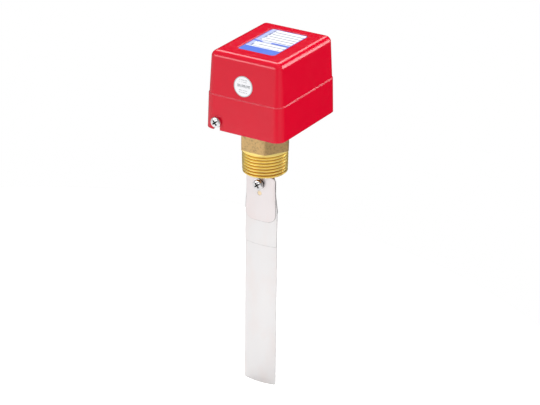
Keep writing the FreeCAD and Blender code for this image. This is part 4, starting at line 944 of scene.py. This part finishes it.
class FLOWSWITCH_OT_range_spring(SwitchOperator, bpy.types.Operator):
    """Build the range spring"""
    bl_idname = "flow_switch.range_spring"
    bl_label = "Range Spring"

    def execute(self, context):
        """A round section along a helix whose end turns lie close.

        Half way up, the coil is cut in two.
        """
        sizes = context.scene.flow_switch_sizes
        wire = sizes.spring_wire
        path = self.helix(wire, sizes.spring_turns)
        tangent = np.gradient(path, axis=0)
        t = circle(16)
        section = wire * np.stack([np.cos(t), np.sin(t)], 1)
        half = len(path) // 2
        y, cut = middle("range_spring")[1], path[half, 2]
        foot, head = low("range_spring")[2], high("range_spring")[2]
        lower = ("range_coil_lower", slice(0, half + 1), ("paddle_arm", "base"), foot, cut - wire,
                 ("range_spring",))
        upper = ("range_coil_upper", slice(half, None), ("base", "range_cup"), cut + wire, head, ())
        for name, part, bodies, start, end, replaced in (lower, upper):
            grid = swept(path[part], tangent[part], section) + [0, y, 0]
            made = piece(name, surface(name, grid), None,
                         ("Spring steel",), replaced)
            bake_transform(made)
        return {"FINISHED"}

    def helix(self, wire, turns):
        """Middle line of the wire: a straight rise per turn, small over the first and last turn."""
        bottom, top = low("range_spring")[2], high("range_spring")[2]
        mean = (high("range_spring")[0] - low("range_spring")[0]) / 2 - wire
        share = np.linspace(0, 1, int(48 * turns))
        angles = share * turns * 2 * math.pi
        dead = 1 / turns
        close = 2 * wire * 1.04
        free = top - bottom - 2 * wire - 2 * close
        rise = close * (np.minimum(share, dead) + np.clip(share - 1 + dead, 0, 1)) / dead
        rise += free * np.clip((share - dead) / (1 - 2 * dead), 0, 1)
        return np.stack([mean * np.cos(angles), mean * np.sin(angles), bottom + wire + rise], 1)


class FLOWSWITCH_OT_bellows(SwitchOperator, bpy.types.Operator):
    """Build the bellows"""
    bl_idname = "flow_switch.bellows"
    bl_label = "Bellows"

    def execute(self, context):
        """A turned wave: the outer radius is the mean less the fold times the cosine of the height.

        The inner face is the same wave one wall further in.
        """
        sizes = context.scene.flow_switch_sizes
        bottom, rim = low("bellows")[2], high("bellows")[2]
        top, rim_r = rim - RIM_THICKNESS, high("bellows")[0]
        z = np.linspace(bottom, top, sizes.bellows_folds * 16 + 1)
        phase = (z - bottom) / (top - bottom) * sizes.bellows_folds * 2 * math.pi
        outer = BELLOWS_MEAN_R - BELLOWS_FOLD * np.cos(phase)
        inner = outer - sizes.bellows_wall
        flange = [[rim_r, top], [rim_r, rim], [inner[-1], rim]]
        outline = np.vstack([np.stack([outer, z], 1), flange, np.stack([inner, z], 1)[::-1]])
        grid = turn(circle(72), outline[:, 0], outline[:, 1])
        mesh = surface("bellows_wave", grid, ring=True)
        made = piece("bellows_wave", mesh, None, ("Bellows bronze",), ("bellows",))
        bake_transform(made)
        return {"FINISHED"}


class FLOWSWITCH_OT_cable_bush(SwitchOperator, bpy.types.Operator):
    """Build the rubber bush of the cable entry"""
    bl_idname = "flow_switch.cable_bush"
    bl_label = "Cable Bush"

    def execute(self, context):
        """A closed turned outline with soft lips and one shallow ring groove on its outer face."""
        start, end = low("cable_grommet"), high("cable_grommet")
        length = end[1] - start[1]
        collar = (end[0] - start[0]) / 2
        neck, bore, seam = collar - BUSH_GROOVE_DEPTH, BUSH_BORE_R, (BUSH_BORE_R, length / 2)
        ring_depth = 0.5
        ring = [(collar - 2.0, length), (collar - 2.6, length - ring_depth),
                (collar - 4.6, length - ring_depth), (collar - 5.2, length)]
        outline = [(bore + 0.01, length / 2), (bore, 0.0), (collar - 1, 0.0),
                   (collar, BUSH_GROOVE[0]), (neck, BUSH_GROOVE[0]), (neck, BUSH_GROOVE[1]),
                   (collar, BUSH_GROOVE[1]), (collar, length), *ring, (bore, length), seam]
        radius, along = rounded(outline, 0.5).T
        grid = aimed(turn(circle(120), radius, along), (0, start[1], middle("cable_grommet")[2]),
                     (0, 1, 0))
        mesh = surface("cable_bush", grid, ring=True)
        piece("cable_bush", mesh, "base", ("Bush rubber",), ("cable_grommet",), 50)
        return {"FINISHED"}


class FLOWSWITCH_OT_studio(SwitchOperator, bpy.types.Operator):
    """Set up the floor, the soft lights, the surroundings and the camera"""
    bl_idname = "flow_switch.studio"
    bl_label = "Studio"

    # Name, place, width, height, power, and whether the cover mirrors it
    LAMPS = (("Key", (-0.80, -1.40, 0.45), 0.9, 0.5, 8.0, True),
             ("Back", (-0.48, 0.88, 1.00), 1.1, 0.6, 9.5, True),
             ("Side", (0.95, 1.15, 0.28), 0.35, 0.8, 6.0, True),
             ("Fill", (1.30, -0.55, 0.75), 0.8, 0.8, 13.5, False),
             ("Top", (0.05, 0.10, 1.50), 1.0, 1.0, 8.0, False))

    def execute(self, context):
        self.floor()
        self.surroundings()
        for lamp in self.LAMPS:
            self.softbox(*lamp)
        self.camera()
        context.scene.view_settings.view_transform = "Standard"
        return {"FINISHED"}

    def floor(self):
        """A flat disc under the leaf's end: rings of growing radius."""
        level = CAD_BOX[0][2] / MM - 0.5
        centre = [-110, -190, 0]
        grid = turn(circle(96), np.linspace(0, 450, 12), np.full(12, level)) + centre
        mesh = surface("floor", grid)
        floor = put("floor", mesh)
        pale = Finish("Pale floor")
        seen = pale.add("ShaderNodeLightPath")["Is Camera Ray"]
        pale.feed(pale.shader, {"Base Color": (0.82, 0.82, 0.82, 1.0), "Roughness": 0.9,
                                "Specular IOR Level": 0.0, "Emission Color": (1.0, 1.0, 1.0, 1.0),
                                "Emission Strength": pale.times(seen, 0.60)})
        mesh.materials.append(pale.material)

    def surroundings(self):
        """White behind the object, and for everything else a soft light, brighter in front."""
        soft_level = 0.48
        world = bpy.data.worlds.new("Soft surroundings")
        bpy.context.scene.world = world
        world.use_nodes = True
        world.node_tree.nodes.clear()
        sky = Graph(world.node_tree)
        ray = sky.add("ShaderNodeLightPath")
        direction = sky.add("ShaderNodeTexCoord")["Generated"]

        def lobe(axis, *levels):
            """Light that depends on how far a direction points along an axis."""
            return sky.remap(sky.vectors("DOT_PRODUCT", direction, axis), *levels, True)

        front = lobe((-0.74, -0.67, 0.0), 0.30, 0.82, 0.0, 0.52)
        under = lobe((0.0, 0.0, 1.0), 0.45, -0.1, 0.12, 1.0)
        beside = lobe((0.90, -0.35, -0.25), 0.86, 0.97, 0.0, 0.30)
        calm = lobe((0.0, 1.0, 0.0), 0.35, 0.70, 0.28, 0.0)
        gloss = sky.plus(sky.maths("MULTIPLY_ADD", front, under, beside), calm)
        soft = sky.plus(sky.times(ray["Is Glossy Ray"], sky.minus(gloss, soft_level)), soft_level)
        level = sky.maths("MAXIMUM", soft, ray["Is Camera Ray"])
        light = sky.add("ShaderNodeBackground", {0: (1.0, 1.0, 1.0, 1.0), 1: level})
        output = sky.tree.nodes.new("ShaderNodeOutputWorld")
        sky.feed(output.inputs, {0: light[0]})

    def softbox(self, name, at, width, height, power, mirrored):
        """A rectangular light that looks at the cover. One that isn't mirrored leaves no shine."""
        aim = Vector((0, 0, 0.03))
        data = bpy.data.lights.new(name, "AREA")
        data.shape = "RECTANGLE"
        data.size, data.size_y, data.energy = width, height, power
        lamp = put(name, data)
        lamp.location = at
        lamp.visible_glossy = mirrored
        lamp.rotation_euler = (aim - Vector(at)).to_track_quat("-Z", "Y").to_euler()

    def camera(self):
        """A long lens from the front right and above, with a slight roll."""
        azimuth, elevation, roll = (math.radians(angle) for angle in (31.14, 24.25, 0.64))
        distance, shift_right, shift_down = 1.64493, 0.00384, 0.00252
        aim = Vector((0, 0, -0.040))
        back = Vector((math.sin(azimuth) * math.cos(elevation),
                       -math.cos(azimuth) * math.cos(elevation), math.sin(elevation)))
        right = Vector((math.cos(azimuth), math.sin(azimuth), 0))
        up = back.cross(right)
        side = right * math.cos(roll) + up * math.sin(roll)
        above = up * math.cos(roll) - right * math.sin(roll)
        data = bpy.data.cameras.new("Camera")
        data.sensor_width, data.lens = 36.0, 152.93
        data.clip_start, data.clip_end = 0.05, 20.0
        view = put("Camera", data)
        view.matrix_world = Matrix((side, above, back)).transposed().to_4x4()
        view.location = aim + back * distance + right * shift_right - up * shift_down
        bpy.context.scene.camera = view


# ---- Panel and registration ----

OPERATORS = (
    FLOWSWITCH_OT_finishes, FLOWSWITCH_OT_solids, FLOWSWITCH_OT_fitting, FLOWSWITCH_OT_screws,
    FLOWSWITCH_OT_spring_washer, FLOWSWITCH_OT_range_spring, FLOWSWITCH_OT_bellows,
    FLOWSWITCH_OT_cable_bush, FLOWSWITCH_OT_studio)


class FLOWSWITCH_PT_build(bpy.types.Panel):
    """Lists the settings and the pieces"""
    bl_label = "Paddle Flow Switch"
    bl_space_type = "VIEW_3D"
    bl_region_type = "UI"
    bl_category = "Flow Switch"

    def draw(self, context):
        for group in (context.scene.flow_switch_sizes, context.scene.flow_switch_colours):
            column = self.layout.column(align=True)
            for name in group.__annotations__:
                column.prop(group, name)
        column = self.layout.column()
        for operator in OPERATORS:
            column.operator(operator.bl_idname)


CLASSES = (FlowSwitchSizes, FlowSwitchColours, *OPERATORS, FLOWSWITCH_PT_build)


def register():
    for each in CLASSES:
        bpy.utils.register_class(each)
    bpy.types.Scene.flow_switch_sizes = bpy.props.PointerProperty(type=FlowSwitchSizes)
    bpy.types.Scene.flow_switch_colours = bpy.props.PointerProperty(type=FlowSwitchColours)


def unregister():
    del bpy.types.Scene.flow_switch_colours
    del bpy.types.Scene.flow_switch_sizes
    for each in reversed(CLASSES):
        bpy.utils.unregister_class(each)


def main():
    register()
    bpy.ops.flow_switch.finishes()
    bpy.ops.flow_switch.solids()
    bpy.ops.flow_switch.fitting()
    bpy.ops.flow_switch.screws()
    bpy.ops.flow_switch.spring_washer()
    bpy.ops.flow_switch.range_spring()
    bpy.ops.flow_switch.bellows()
    bpy.ops.flow_switch.cable_bush()
    bpy.ops.flow_switch.studio()


if __name__ == "__main__":
    main()
